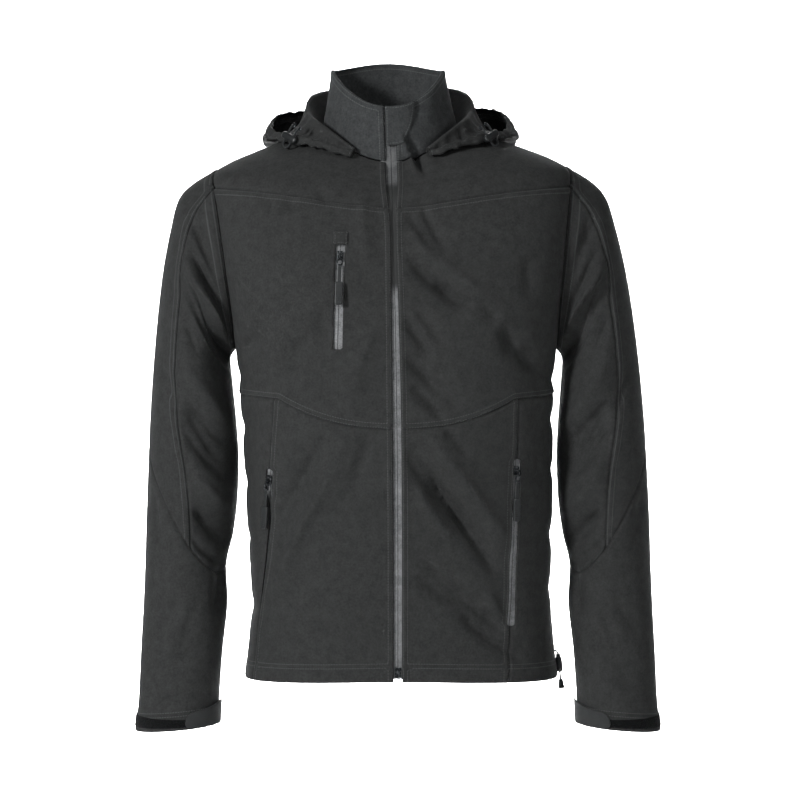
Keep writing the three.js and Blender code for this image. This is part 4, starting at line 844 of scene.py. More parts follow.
def wave(tree, distance, pitch):
    """A sine of a distance, with one swing for each pitch."""
    return calc(tree, "SINE", calc(tree, "MULTIPLY", distance, 2 * math.pi / pitch))


def noise(tree, scale, detail, **more):
    """Noise in the object's own coordinates, its scale in cells to the metre."""
    place = put(tree, "TexCoord").outputs["Object"]
    return put(tree, "TexNoise", {"Vector": place, "Scale": scale, "Detail": detail, **more}).outputs["Fac"]


def ramp(tree, value, *limits):
    """A value carried in a straight line from its two limits to 0 and 1, or to two more."""
    names = ("From Min", "From Max", "To Min", "To Max")
    return put(tree, "MapRange", {"Value": value, **dict(zip(names, limits))}).outputs[0]


def mixed(tree, share, low, high):
    """A mix of two colours."""
    return put(tree, "Mix", {0: share, 6: low, 7: high}, data_type="RGBA").outputs[2]


def heap(tree, *layers):
    """The sum of several outputs, each times its height."""
    total = None
    for output, height in layers:
        layer = calc(tree, "MULTIPLY", output, height)
        total = layer if total is None else calc(tree, "ADD", total, layer)
    return total


def relief(tree, height, strength, distance):
    """A bump's normal, its distance in millimetres."""
    sockets = {"Height": height, "Strength": strength, "Distance": distance * MM}
    return put(tree, "Bump", sockets).outputs[0]


def blank(name):
    """A new material and its empty node tree."""
    material = bpy.data.materials.new(name)
    material.use_nodes = True
    material.node_tree.nodes.clear()
    return material, material.node_tree


def finished(material, tree, sockets):
    """Closes a material with one principled surface."""
    shader = put(tree, "BsdfPrincipled", sockets)
    put(tree, "OutputMaterial", {"Surface": shader.outputs[0]})
    return material


def woven_cloth(name, light, dark, thread, sheen):
    """Bonded softshell: a fine plain weave of textured polyester. It has a soft matt look with a
    faint bloom at grazing angles, a fine mottle, and topstitching in its own colour. The real
    threads are 0.25 mm apart, too fine to show, so the weave is drawn coarser."""
    material, tree = blank(name)
    threads = [wave(tree, carried(tree, way), WEAVE_PITCH) for way in ("cloth_u", "cloth_v")]
    weave = calc(tree, "MULTIPLY", *threads)
    grain = noise(tree, 420.0, 3.0, Roughness=0.65)
    mottle = noise(tree, 95.0, 4.0, Roughness=0.7)
    away = carried(tree, "stitch_away")
    rows = [calc(tree, "ABSOLUTE", calc(tree, "SUBTRACT", away, row)) for row in (ROW_NEAR, ROW_FAR)]
    line = ramp(tree, calc(tree, "MINIMUM", *rows), 0.2, 0.75, 1.0, 0.0)
    dash = ramp(tree, wave(tree, carried(tree, "stitch_along"), STITCH_PITCH), -0.75, -0.35)
    stitch = calc(tree, "MULTIPLY", line, dash)
    share = ramp(tree, calc(tree, "ADD", grain, mottle), 0.72, 1.28)
    colour = mixed(tree, share, linear(dark), linear(light))
    sockets = {
        "Base Color": mixed(tree, stitch, colour, linear(thread)),
        "Normal": relief(tree, heap(tree, (weave, 0.035), (grain, 0.22), (stitch, 0.35)), 0.6, 1),
        "Roughness": 0.85,
        "IOR": 1.4,
        "Specular IOR Level": 0.25,
        "Sheen Weight": sheen,
        "Sheen Roughness": 0.45,
        "Sheen Tint": linear("#8c9192"),
    }
    return finished(material, tree, sockets)


def moulded(name, colour, roughness, grain_mm, depth):
    """Injection-moulded plastic or rubber: one even colour with a fine spark-eroded grain."""
    material, tree = blank(name)
    grain = noise(tree, 1 / (grain_mm * MM), 2.0)
    deep = tuple(0.75 * c for c in linear(colour)[:3]) + (1.0,)
    sockets = {
        "Base Color": mixed(tree, noise(tree, 160.0, 2.0), deep, linear(colour)),
        "Normal": relief(tree, grain, 0.5, depth),
        "Roughness": roughness,
    }
    return finished(material, tree, sockets)


def lacquered_metal(name, colour):
    """Die-cast zinc with a dark baked lacquer, rubbed a little brighter on its high spots."""
    material, tree = blank(name)
    wear = noise(tree, 520.0, 3.0)
    sockets = {
        "Base Color": mixed(tree, ramp(tree, wear, 0.5, 0.72), linear(colour), linear("#83878a")),
        "Roughness": ramp(tree, wear, 0.0, 1.0, 0.24, 0.46),
        "Metallic": 0.85,
    }
    return finished(material, tree, sockets)


def laminated_tape(name):
    """A woven zip tape laminated with a grey polyurethane film: smooth and satin, with the coil under it
    printing through as fine ribs beside the middle. It splits dark along its middle. Where the mesh carries
    painted shade, the film is painted dark towards #2f3131 as if it lay in shadow."""
    material, tree = blank(name)
    aside = calc(tree, "ABSOLUTE", carried(tree, "tape_across"))
    fine, patchy = noise(tree, 650.0, 3.0), noise(tree, 90.0, 3.0)
    split = ramp(tree, aside, 0.15, 0.5)
    coil = ramp(tree, aside, 2.2, 2.8, 1.0, 0.0)
    ribs = calc(tree, "MULTIPLY", wave(tree, carried(tree, "tape_along"), COIL_PITCH), coil)
    share = ramp(tree, calc(tree, "ADD", fine, patchy), 0.75, 1.25)
    shade = mixed(tree, share, linear("#66686a"), linear("#929496"))
    # painted shade: the film's colour goes dark where the tape is marked as lying in shadow
    shade = mixed(tree, carried(tree, "tape_painted_shade"), shade, linear("#2f3131"))
    sockets = {
        "Base Color": mixed(tree, split, linear("#1b1c1d"), shade),
        "Normal": relief(tree, heap(tree, (ribs, 0.12), (split, 0.5), (fine, 0.16)), 0.7, 1),
        "Roughness": 0.42,
    }
    return finished(material, tree, sockets)


def loop_pile(name):
    """Woven hook-and-loop tape, its loops raised into a dense dark fuzz that scatters light."""
    material, tree = blank(name)
    place = put(tree, "TexCoord").outputs["Object"]
    curls = put(tree, "TexVoronoi", {"Vector": place, "Scale": 700.0}).outputs["Distance"]
    share = ramp(tree, calc(tree, "MULTIPLY", curls, noise(tree, 900.0, 4.0)), 0.05, 0.4)
    sockets = {
        "Base Color": mixed(tree, share, linear("#08090a"), linear("#181a1b")),
        "Normal": relief(tree, share, 1.0, 0.8),
        "Roughness": 0.95,
        "Sheen Weight": 0.05,
        "Specular IOR Level": 0.1,
    }
    return finished(material, tree, sockets)


def braided_cord(name):
    """Round braided elastic: two sets of strands that cross on the slant."""
    material, tree = blank(name)
    around, along = carried(tree, "cord_around"), carried(tree, "cord_along")
    strands = []
    for way in (1, -1):
        lay = calc(tree, "MULTIPLY", around, 4.0 * way)
        lay = calc(tree, "MULTIPLY_ADD", along, 2 * math.pi / BRAID_PITCH, lay)
        strands.append(calc(tree, "SINE", lay))
    braid = calc(tree, "MAXIMUM", *strands)
    sockets = {
        # Painted shade: the colour darkens to #101213 in the hollows between the strands and is lighter on
        # their crowns
        "Base Color": mixed(tree, ramp(tree, braid, -0.6), linear("#101213"), linear("#34383a")),
        "Normal": relief(tree, braid, 0.8, 0.3),
        "Roughness": 0.7,
    }
    return finished(material, tree, sockets)


SHELL = woven_cloth("softshell_woven_face", "#3a3b3b", "#2c2d2d", "#4a4c4c", 0.12)
COLLAR = woven_cloth("softshell_collar_face", "#464849", "#323435", "#555858", 0.15)
TAPE_FILM = laminated_tape("zip_tape_polyurethane_film")
LACQUER = lacquered_metal("zip_zinc_dark_lacquer", "#2c2f31")
RUBBER = moulded("puller_moulded_rubber", "#2a2d2e", 0.42, 0.5, 0.06)
PLASTIC = moulded("lock_moulded_nylon", "#232627", 0.34, 0.4, 0.04)
TAB_RUBBER = moulded("cuff_tab_moulded_rubber", "#2e3031", 0.8, 0.6, 0.08)
LOOPS = loop_pile("cuff_loop_pile")
BRAID = braided_cord("cord_braided_elastic")


# Hard pieces


def loft(rings, capped=True):
    """A closed skin through rings of points, with a fan to the middle of the first and last."""
    rings = np.asarray(rings, float)
    count, around = rings.shape[:2]
    points = rings.reshape(-1, 3)
    faces = grid_faces(count, around, 0, True)
    if capped:
        ends = np.stack([rings[0].mean(0), rings[-1].mean(0)])
        points = np.concatenate([points, ends])
        i = np.arange(around)
        ahead = (i + 1) % around
        low = np.stack([np.full(around, count * around), ahead, i], -1)
        start = (count - 1) * around
        high = np.stack([np.full(around, count * around + 1), start + i, start + ahead], -1)
        triangles = np.concatenate([faces[:, [0, 1, 2]], faces[:, [0, 2, 3]], low, high])
    else:
        faces = grid_faces(count + 1, around, 0, True)
        faces = faces % (count * around)
        triangles = np.concatenate([faces[:, [0, 1, 2]], faces[:, [0, 2, 3]]])
    a, b, c = (points[triangles[:, k]] for k in range(3))
    if np.sum(a * np.cross(b, c)) < 0:
        triangles = triangles[:, ::-1]
    return points, triangles


def joined(name, parts, place=None):
    """One object from several lofts, placed by a matrix."""
    points, faces, start = [], [], 0
    for part_points, part_faces in parts:
        points.append(part_points)
        faces.append(part_faces + start)
        start += len(part_points)
    points = np.concatenate(points)
    if place is not None:
        points = moved(points, place)
    return new_mesh(name, points, np.concatenate(faces))


def outline(width, length, corner, count=48):
    """A rectangle with round corners as points round it."""
    turn = np.arange(count) * 2 * np.pi / count
    x = np.sign(np.cos(turn)) * (width / 2 - corner)
    y = np.sign(np.sin(turn)) * (length / 2 - corner)
    return np.stack([x + corner * np.cos(turn), y + corner * np.sin(turn)], -1)


def pebble(width, length, thick, corner, edge=0.6, crown=0.0, at=(0, 0, 0)):
    """A plate with rounded outline and edges: the outline, drawn in by the edge's quarter round
    at the bottom and top, and a crown that rises to the middle of the top."""
    turn = np.linspace(-np.pi / 2, np.pi / 2, 7)
    rings = []
    for a in turn:
        inset = edge * (1 - math.cos(a))
        flat = outline(width - 2 * inset, length - 2 * inset, max(corner - inset, 0.1))
        z = np.full(len(flat), math.copysign(thick / 2 - edge, a) + edge * math.sin(a))
        rings.append(np.column_stack([flat, z]))
    top = rings[-1]
    for share in (0.75, 0.45, 0.2):
        ring = top * np.array([share, share, 1])
        ring[:, 2] = thick / 2 + crown * (1 - share**2)
        rings.append(ring)
    return loft(np.array(rings) + np.array(at))


def circle(radius, count=32):
    """Points round a circle, in its own plane."""
    turn = np.arange(count) * 2 * np.pi / count
    return np.stack([radius * np.cos(turn), radius * np.sin(turn)], -1)


def circle_at(radius, at, axis, count=24):
    """A circle round a point, square to one of the axes."""
    return np.insert(circle(radius, count), axis, 0, axis=1) + np.array(at)


def tube(path, radius, sides=12, closed=False):
    """Rings of points round a path, each turned from the last by the path's own bend."""
    path = np.asarray(path, float)
    if closed:
        way = unit(np.roll(path, -1, 0) - np.roll(path, 1, 0))
    else:
        way = unit(np.gradient(path, axis=0))
    across = np.cross(way[0], [0.3, 0.2, 0.93])
    rings = []
    for point, along in zip(path, way):
        across = across - along * np.dot(across, along)
        across = across / np.linalg.norm(across)
        turn = np.arange(sides) * 2 * np.pi / sides
        radial = np.outer(np.cos(turn), across) + np.outer(np.sin(turn), np.cross(along, across))
        rings.append(point + radius * radial)
    return loft(rings, capped=not closed)


def through(points, per_span=10):
    """A smooth curve through points, centripetal, so that it never loops between them."""
    points = np.asarray(points, float)
    ends = np.stack([2 * points[0] - points[1], 2 * points[-1] - points[-2]])
    p = np.concatenate([ends[:1], points, ends[1:]])
    made = []
    for k in range(1, len(p) - 2):
        knots = np.r_[0, np.cumsum(np.linalg.norm(np.diff(p[k - 1 : k + 3], axis=0), axis=1) ** 0.5)]
        t = np.linspace(knots[1], knots[2], per_span, endpoint=False)[:, None]
        a = [between(p[k - 1 + j], p[k + j], (t - knots[j]) / (knots[j + 1] - knots[j])) for j in range(3)]
        b = [between(a[j], a[j + 1], (t - knots[j]) / (knots[j + 2] - knots[j])) for j in range(2)]
        made.append(between(b[0], b[1], (t - knots[1]) / (knots[2] - knots[1])))
    return np.concatenate([*made, points[-1:]])


def frame_on(point, normal, towards):
    """A frame on a surface: Z out of it, Y towards a second point of it."""
    up = towards - point
    up = unit(up - normal * np.dot(up, normal))
    placed = np.eye(4)
    placed[:3, 0], placed[:3, 1], placed[:3, 2], placed[:3, 3] = np.cross(up, normal), up, normal, point
    return placed


def moved(points, place):
    """Points placed by a matrix."""
    return np.asarray(points, float) @ place[:3, :3].T + place[:3, 3]


# The hood's surface


def beside_neck(azimuth, run, up, rise):
    """A point so far down the body from the neck seam at its azimuth, and so high off it: found
    on the body's own line at that azimuth, measured along in short steps."""
    levels = np.arange(NECK_LEVEL, -171, -3.0)
    azimuth = np.asarray(azimuth, float)
    line = body_base(azimuth[..., None], levels)
    out = body_normal(azimuth[..., None], levels)
    step = np.linalg.norm(np.diff(line, axis=-2), axis=-1)
    runs = np.concatenate([np.zeros(step.shape[:-1] + (1,)), np.cumsum(step, -1)], -1)
    i = np.clip(np.sum(runs[..., 1:] < run[..., None], -1), 0, len(levels) - 2)

    def pick(values, k):
        index = k[..., None] if values.ndim == k.ndim + 1 else k[..., None, None]
        return np.take_along_axis(values, index, k.ndim).squeeze(k.ndim)

    low, high = pick(runs, i), pick(runs, i + 1)
    share = np.clip((run - low) / (high - low), 0, 1)[..., None]
    normal = unit(between(pick(out, i), pick(out, i + 1), share))
    point = between(pick(line, i), pick(line, i + 1), share) + normal * up[..., None]
    point[..., 2] += rise
    return point


def take(rows, k):
    """From a stack of rows, the one that each place asks for."""
    return np.take_along_axis(rows, k[None], 0)[0]


def hood_base(azimuth, share):
    """A section of the folded hood: from the neck seam over the crest, down to the floor and
    round up to the rim, each stop's run and height off the body taken from the table."""
    azimuth, share = np.broadcast_arrays(np.asarray(azimuth, float), np.clip(np.asarray(share, float), 0, 1))
    turned = np.where(azimuth > 180, 360 - azimuth, azimuth)
    at = {name: track(HOOD_SECTIONS, "azimuth", name, turned) for name in HOOD_SECTIONS}
    sag = np.where(azimuth < 180, HOOD_SAG["left"], HOOD_SAG["right"])
    sag = sag * bell(turned - HOOD_SAG["azimuth"], HOOD_SAG["spread"])
    crest = at["crest_up"] - 0.5 * sag
    zero = np.zeros_like(turned)
    stops = [
        (0, zero + 3.4, zero + 1.4, zero),
        (0.14, at["crest_run"], crest, at["crest_rise"]),
        (
            0.27,
            between(at["crest_run"], at["floor_run"], 0.5),
            between(crest, at["floor_up"], 0.55),
            at["crest_rise"] / 3,
        ),
        (0.42, at["floor_run"], at["floor_up"], zero),
        (0.6, at["bottom_run"], at["bottom_up"], zero),
        (0.78, at["belly_run"], at["belly_up"] - 0.35 * sag, zero),
        (1, at["rim_run"], at["rim_up"] - sag, zero),
    ]
    key = np.array([stop[0] for stop in stops])
    i = np.searchsorted(key[1:-1], share)
    made = []
    for column in (1, 2, 3):
        y = np.stack([stop[column] for stop in stops])
        before, after = np.r_[0, np.arange(6)], np.r_[np.arange(1, 7), 6]
        slope = (y[after] - y[before]) / (key[after] - key[before]).reshape(-1, *[1] * turned.ndim)
        span = key[i + 1] - key[i]
        t = np.clip((share - key[i]) / span, 0, 1)
        made.append(cubic(take(y, i), take(y, i + 1), span * take(slope, i), span * take(slope, i + 1), t))
    return beside_neck(azimuth, *made)


def hood_point(azimuth, share):
    """The hood's surface, gathered in small waves along its rim, and the direction out of it."""
    azimuth, share = np.broadcast_arrays(np.asarray(azimuth, float), np.asarray(share, float))
    along = hood_base(azimuth, share + 0.02) - hood_base(azimuth, share - 0.02)
    around = hood_base(azimuth + 1, share) - hood_base(azimuth - 1, share)
    normal = unit(np.cross(around, along))
    point = hood_base(azimuth, share)
    gather = np.sin(azimuth * 1.9) * np.sin(azimuth * 0.61 + 1) + 0.5 * np.sin(azimuth * 3.1 + 2)
    calm = smooth(HOOD_FRONT, HOOD_FRONT + 30, np.where(azimuth > 180, 360 - azimuth, azimuth))
    height = 1.1 * calm * gather * smooth(0.5, 0.85, share)
    lift = calm * (np.sin(azimuth * 0.9 + 0.7) + 0.5 * np.sin(azimuth * 1.7 + 2))
    point = point + unit(along) * (0.8 * lift * smooth(0.8, 1, share))[..., None]
    deep = np.sin(azimuth * 0.43 + 0.6) * np.sin(azimuth * 0.21 + share * 3)
    height += 1.8 * deep * smooth(0.1, 0.3, share) * smooth(1, 0.8, share)
    return point + normal * height[..., None], normal


# The camera looks straight at the front, level, from the photograph's distance
camera_data = bpy.data.cameras.new("camera")
camera_data.lens = LENS
camera_data.sensor_width = SENSOR
camera = bpy.data.objects.new("camera", camera_data)
camera.location = [v * MM for v in CAMERA_AT]
camera.rotation_euler = (math.pi / 2, 0, 0)
bpy.context.scene.collection.objects.link(camera)
bpy.context.scene.camera = camera


# Cords, with their locks


def cord_piece(name, path, node):
    """A round cord along its path, with the distances that its braid follows."""
    piece = joined(name, [tube(path, CORD_RADIUS, CORD_SIDES)])
    along = lengths(path[:, None], 0).ravel()
    around = np.tile(np.arange(CORD_SIDES) * 2 * np.pi / CORD_SIDES, len(path))
    attribute(piece, "cord_around", np.append(around, [0, 0]))
    attribute(piece, "cord_along", np.append(np.repeat(along, CORD_SIDES), [along[0], along[-1]]))
    dress(piece, node, BRAID)


def hood_lock(azimuth, name):
    """An oval lock with two bores, and the cord that leaves two eyelets, passes through the bores
    and loops below them."""
    share = HOOD_LOCK["share"] + np.array([0, 0.1])
    (point, ahead), normals = hood_point(np.full(2, float(azimuth)), share)
    neck = body_base(np.array([azimuth]), np.array([float(NECK_LEVEL)])).reshape(3)
    normal = normals[0] * np.sign(np.dot(normals[0], point - neck))
    place = frame_on(point, normal, ahead)
    length, width, thick, spread, up = (HOOD_LOCK[k] for k in ("length", "width", "thick", "spread", "up"))
    bar = pebble(length, width, thick, width / 2 - 0.3, edge=2.2, crown=0.6, at=(0, 0, up))
    collars = []
    for way in (-1, 1):
        for end in (-1, 1):
            rim = circle_at(HOOD_LOCK["bore"], (way * spread, end * (width / 2 - 0.2), up), 1)
            collars.append(tube(rim, HOOD_LOCK["lip"], 8, closed=True))
    lock = joined(f"hood_lock_{name}_moulding", [bar, *collars], place)
    dress(lock, f"hood_lock_{name}", PLASTIC)
    strand = [
        (spread, width + 6, 0.5),
        (spread, width + 5.5, 2.4),
        (spread, width + 2.5, up),
        (spread, width / 2, up),
        (spread, -width / 2, up),
    ]
    bend = -width / 2 - 3
    turn_point = (spread * 0.75, bend - spread * 0.66, up)
    far = [(-x, y, z) for x, y, z in [turn_point, *strand[::-1]]]
    loop = [(spread, bend, up), turn_point, (0, bend - spread, up), far[0], (-spread, bend, up)]
    points = [*strand, *loop, *far[1:]]
    path = moved(through(points), place)
    cord_piece(f"hood_cord_{name}_braid", path, f"hood_cord_{name}")
    eyelets = []
    for way in (-1, 1):
        middle = (way * spread, width + HOOD_LOCK["eyelet_away"], HOOD_LOCK["eyelet_up"])
        rim = circle_at(HOOD_LOCK["eyelet"], middle, 2, 28)
        eyelets.append(tube(rim, HOOD_LOCK["eyelet_wire"], 10, closed=True))
    rings = joined(f"hood_eyelets_{name}", eyelets, place)
    dress(rings, None, LACQUER)


def hem_lock(azimuth, name, sink):
    """A barrel lock on the hem's cord, whose free end hangs in a bell."""
    level = HEM_LOCK["level"] + np.array([0, 10.0])
    (point, ahead), normals = body_point(np.full(2, float(azimuth)), level)
    place = frame_on(point, normals[0], ahead)
    place[:3, 3] -= place[:3, 2] * sink
    length, width, thick, up, drop = (HEM_LOCK[k] for k in ("length", "width", "thick", "up", "drop"))
    block = pebble(width, length, thick, 3.2, edge=2.4, crown=0.4, at=(0, 0, up))
    button = pebble(6.4, 6, thick - 2.2, 2.2, edge=1.4, at=(0, length / 2 + 0.8, up))
    rim = circle_at(HEM_LOCK["bore"], (0, -length / 2, up), 1)
    collar = tube(rim, HEM_LOCK["lip"], 8, closed=True)
    lock = joined(f"hem_lock_{name}_moulding", [block, button, collar], place)
    dress(lock, f"hem_lock_{name}", PLASTIC)
    rings = [circle_at(r, (0, h - drop, up), 1) for h, r in zip(BELL["height"], BELL["radius"])]
    end = joined(f"hem_cord_end_{name}_bell", [loft(rings)], place)
    dress(end, f"hem_cord_end_{name}", PLASTIC)
    points = [
        (0, length / 2 + 8, 0.5),
        (0, length / 2 + 7.5, 2.6),
        (0, length / 2 + 4.5, up),
        (0, length / 2 - 1, up),
        (0, -length / 2, up),
        (0, -drop, up),
    ]
    path = moved(through(points), place)
    cord_piece(f"hem_cord_{name}_braid", path, f"hem_cord_{name}")


hood_lock(HOOD_LOCK_AZIMUTH, "left")
hood_lock(360 - HOOD_LOCK_AZIMUTH, "right")
hem_lock(86, "left", 1)
hem_lock(240, "right", 0)


# Fronts, side panels and back


def chest_seam_level(x):
    """The level of the curved chest seam at a distance from the middle."""
    return CHEST_SEAM_CENTRE + CHEST_SEAM_RISE * np.minimum(1, x / CHEST_SEAM_REACH) ** 2.4


def pocket_level(pocket, z, aside=0):
    """The azimuth and level of the point at a height on a pocket's line, or beside it, by
    stepping the level until it has that height."""
    x = pocket_x(pocket, z) + aside
    level = z + 0 * x
    for _ in range(6):
        level = level + z - body_base(azimuth_at(level, x), level)[..., 2]
    return pocket["side"] * azimuth_at(level, x), level


def pocket_frame(pocket, z, reach, depth):
    """A frame on the cloth at a height of a pocket's zip: X across, Y up along it, Z outwards."""
    straight = dict(pocket, bow=0)
    heights = np.array([z, z + reach, z - reach], float)
    points, normals = seat_point(*pocket_level(straight, heights))
    place = frame_on(points[0], normals[0], points[0] + points[1] - points[2])
    place[:3, 3] += normals[0] * depth
    return place


def window_frame(pocket):
    """The frame at the middle of a pocket's window."""
    middle = (pocket["top_z"] + pocket["foot_z"]) / 2
    return pocket_frame(pocket, middle, (pocket["top_z"] - pocket["foot_z"]) / 2, 0)


def seams_of(pocket):
    """Each seam of one side as azimuth and level over 0 to 1, for the wearer's left."""
    corner = CHEST_SEAM_CENTRE
    for _ in range(6):
        corner = float(chest_seam_level(pocket_x(pocket, corner)))
    corner_x = pocket_x(pocket, corner)
    zip_x = float(track(ZIP_OPENING, "level", "half", CHEST_SEAM_CENTRE))
    yoke_azimuth, yoke_level = armhole(YOKE_ARM_DEG)

    def seam_azimuth(level):
        return azimuth_at(level, pocket_x(pocket, level))

    def at_zip(low, high):
        return lambda v: pair(zip_azimuth(between(low, high, v)), between(low, high, v))

    def chest_front(u):
        x = between(zip_x, corner_x, u)
        return pair(azimuth_at(chest_seam_level(x), x), chest_seam_level(x))

    def chest_side(u):
        level = between(corner, CHEST_SEAM_SIDE, np.sin(u * np.pi / 2))
        return pair(between(seam_azimuth(corner), 90, u), level)

    def pocket_seam(v):
        level = between(HEM_LEVEL, corner, v)
        return pair(seam_azimuth(level), level)

    def hem_front(u):
        return pair(azimuth_at(HEM_LEVEL, between(zip_x, pocket_x(pocket, HEM_LEVEL), u)), HEM_LEVEL)

    def yoke_seam(u):
        return pair(between(zip_azimuth(YOKE_LEVEL), yoke_azimuth, u), between(YOKE_LEVEL, yoke_level, u))

    def shoulder(v):
        return pair(between(90, SHOULDER_NECK_AZIMUTH, v), between(ARM_TOP, NECK_LEVEL, v))

    return dict(
        at_zip=at_zip,
        chest_front=chest_front,
        chest_side=chest_side,
        pocket_seam=pocket_seam,
        hem_front=hem_front,
        hem_side=lambda u: pair(between(seam_azimuth(HEM_LEVEL), 90, u), HEM_LEVEL),
        side_low=lambda v: pair(90, between(HEM_LEVEL, CHEST_SEAM_SIDE, v)),
        side_high=lambda v: pair(90, between(CHEST_SEAM_SIDE, ARM_FOOT, v)),
        arm_front=lambda v: pair(*armhole(between(180, YOKE_ARM_DEG, v))),
        arm_back=lambda v: pair(*armhole(between(-180, -YOKE_ARM_DEG, v))),
        yoke_seam=yoke_seam,
        arm_yoke=lambda v: pair(*armhole(between(YOKE_ARM_DEG, 0, v))),
        arm_back_yoke=lambda v: pair(*armhole(between(-YOKE_ARM_DEG, 0, v))),
        shoulder=shoulder,
        neckline=lambda u: pair(between(zip_azimuth(NECK_LEVEL), SHOULDER_NECK_AZIMUTH, u), NECK_LEVEL),
    )


def inset(points, normals, closed=False):
    """The grid's edges drawn in by half a seam's gap, square to the edge."""
    made = points.copy()

    def pull(rim, inner, line):
        way = unit(np.cross(line, rim[1]))
        way = way * np.sign(np.sum(way * (inner - rim[0]), -1, keepdims=True))
        return way * INSET

    for j, k in ((0, 1), (-1, -2)):
        line = np.gradient(points[j], axis=0)
        made[j] += pull((points[j], normals[j]), points[k], line)
        if not closed:
            line = np.gradient(points[:, j], axis=0)
            made[:, j] += pull((points[:, j], normals[:, j]), points[:, k], line)
    return made


def cloth(node, points, normals, edges, thick=CLOTH, finish=SHELL, closed=False):
    """A panel of cloth with its seams."""
    sewn_points, away, along = sewn(inset(points, normals, closed), normals, edges)
    piece = shell(f"{node}_cloth", sewn_points, normals, thick, away, along, closed)
    dress(piece, node, finish)
    return piece


def window_form(pocket, y):
    """The window's middle and half width at a distance along it: it bows with the pocket's line,
    is as wide as the zip at the slider, closes to the pocket's gap below, and has round ends."""
    reach = (pocket["top_z"] - pocket["foot_z"]) / 2
    middle = -pocket["side"] * pocket["bow"] * np.cos(np.pi / 2 * np.clip(y / reach, -1, 1)) ** 2
    half = between(pocket["gap"], WINDOW_HALF, smooth(reach - 44, reach - 26, y))
    past = np.clip(np.abs(y) - reach + 2, 0, 2)
    return middle, half * np.sqrt(np.maximum(1 - (past / 2) ** 2, 0.02))


def window_cut(piece, pocket):
    """Cuts a pocket's window out of a panel with a prism of its form, and closes the topstitching
    round it: the distance from the window joins that from the seams."""
    place = window_frame(pocket)
    reach = (pocket["top_z"] - pocket["foot_z"]) / 2
    ends = reach - np.array([0, 0.3, 0.9, 2])
    y = np.concatenate([-ends, np.linspace(-reach + 6, reach - 6, 40), ends[::-1]])
    middle, half = window_form(pocket, y)
    corners = [(-1, -30), (1, -30), (1, 30), (-1, 30)]
    rings = np.stack([np.stack([middle + way * half, y, 0 * y + z], -1) for way, z in corners], 1)
    cutter = joined("cutter", [loft(rings)], place)
    modifier = piece.modifiers.new("window", "BOOLEAN")
    modifier.operation = "DIFFERENCE"
    modifier.solver = "EXACT"
    modifier.object = cutter
    cut = bpy.data.meshes.new_from_object(piece.evaluated_get(bpy.context.evaluated_depsgraph_get()))
    piece.modifiers.clear()
    piece.data = cut
    bpy.data.objects.remove(cutter)
    points = np.empty(len(cut.vertices) * 3, np.float32)
    cut.vertices.foreach_get("co", points)
    local = (points.reshape(-1, 3) / MM - place[:3, 3]) @ place[:3, :3]
    middle, half = window_form(pocket, local[:, 1])
    out_x = np.abs(local[:, 0] - middle) - half
    out_y = np.abs(local[:, 1]) - reach
    away = np.hypot(np.maximum(out_x, 0), np.maximum(out_y, 0)) + np.minimum(np.maximum(out_x, out_y), 0)
    old = np.empty(len(points) // 3, np.float32)
    run = np.empty_like(old)
    layers = cut.attributes["stitch_away"].data, cut.attributes["stitch_along"].data
    layers[0].foreach_get("value", old)
    layers[1].foreach_get("value", run)
    away = np.where((old > FAR - 1) | (local[:, 1] > reach - pocket["bare"]), old, away + 0.4)
    nearer = away < old
    layers[0].foreach_set("value", np.where(nearer, away, old).astype(np.float32))
    layers[1].foreach_set("value", np.where(nearer, local[:, 1], run).astype(np.float32))
    return piece


def front(pocket, name):
    """A front's yoke, chest, lower front and side panel, sewn edge to edge."""
    side = pocket["side"]
    seams = seams_of(pocket)
    turned = {key: mirrored(side, edge) for key, edge in seams.items() if key != "at_zip"}

    def at_zip(low, high):
        return mirrored(side, seams["at_zip"](low, high))

    def panel(node, left, right, foot, top, width, height, edges, keep_u=(), keep_v=()):
        u, v = spaced(width, keep=keep_u), spaced(height, keep=keep_v)
        points, normals = body_point(*patch(left, right, foot, top, u, v))
        return cloth(f"{node}_{name}", points, normals, edges)

    panel(
        "front_yoke",
        at_zip(YOKE_LEVEL, NECK_LEVEL),
        chain((3, turned["arm_yoke"]), (3, turned["shoulder"])),
        turned["yoke_seam"],
        turned["neckline"],
        190,
        130,
        dict(left="over", right="under", foot="under", top="under"),
        keep_v=(0.5,),
    )
    chest = panel(
        "front_chest",
        at_zip(CHEST_SEAM_CENTRE, YOKE_LEVEL),
        chain((2, turned["side_high"]), (9, turned["arm_front"])),
        chain((8, turned["chest_front"]), (4, turned["chest_side"])),
        turned["yoke_seam"],
        215,
        290,
        dict(left="over", right="under", foot="over", top="over"),
        keep_u=(8 / 12,),
        keep_v=(2 / 11,),
    )
    lower = panel(
        "front_lower",
        at_zip(HEM_LEVEL, CHEST_SEAM_CENTRE),
        turned["pocket_seam"],
        turned["hem_front"],
        turned["chest_front"],
        150,
        320,
        dict(left="over", right="over", foot="hem", top="under"),
    )
    aside = panel(
        "side_panel",
        turned["pocket_seam"],
        turned["side_low"],
        turned["hem_side"],
        turned["chest_side"],
        95,
        340,
        dict(left="under", right="under", foot="hem", top="under"),
    )
    if side == CHEST_POCKET["side"]:
        window_cut(chest, CHEST_POCKET)
    window_cut(lower, pocket)
    window_cut(aside, pocket)


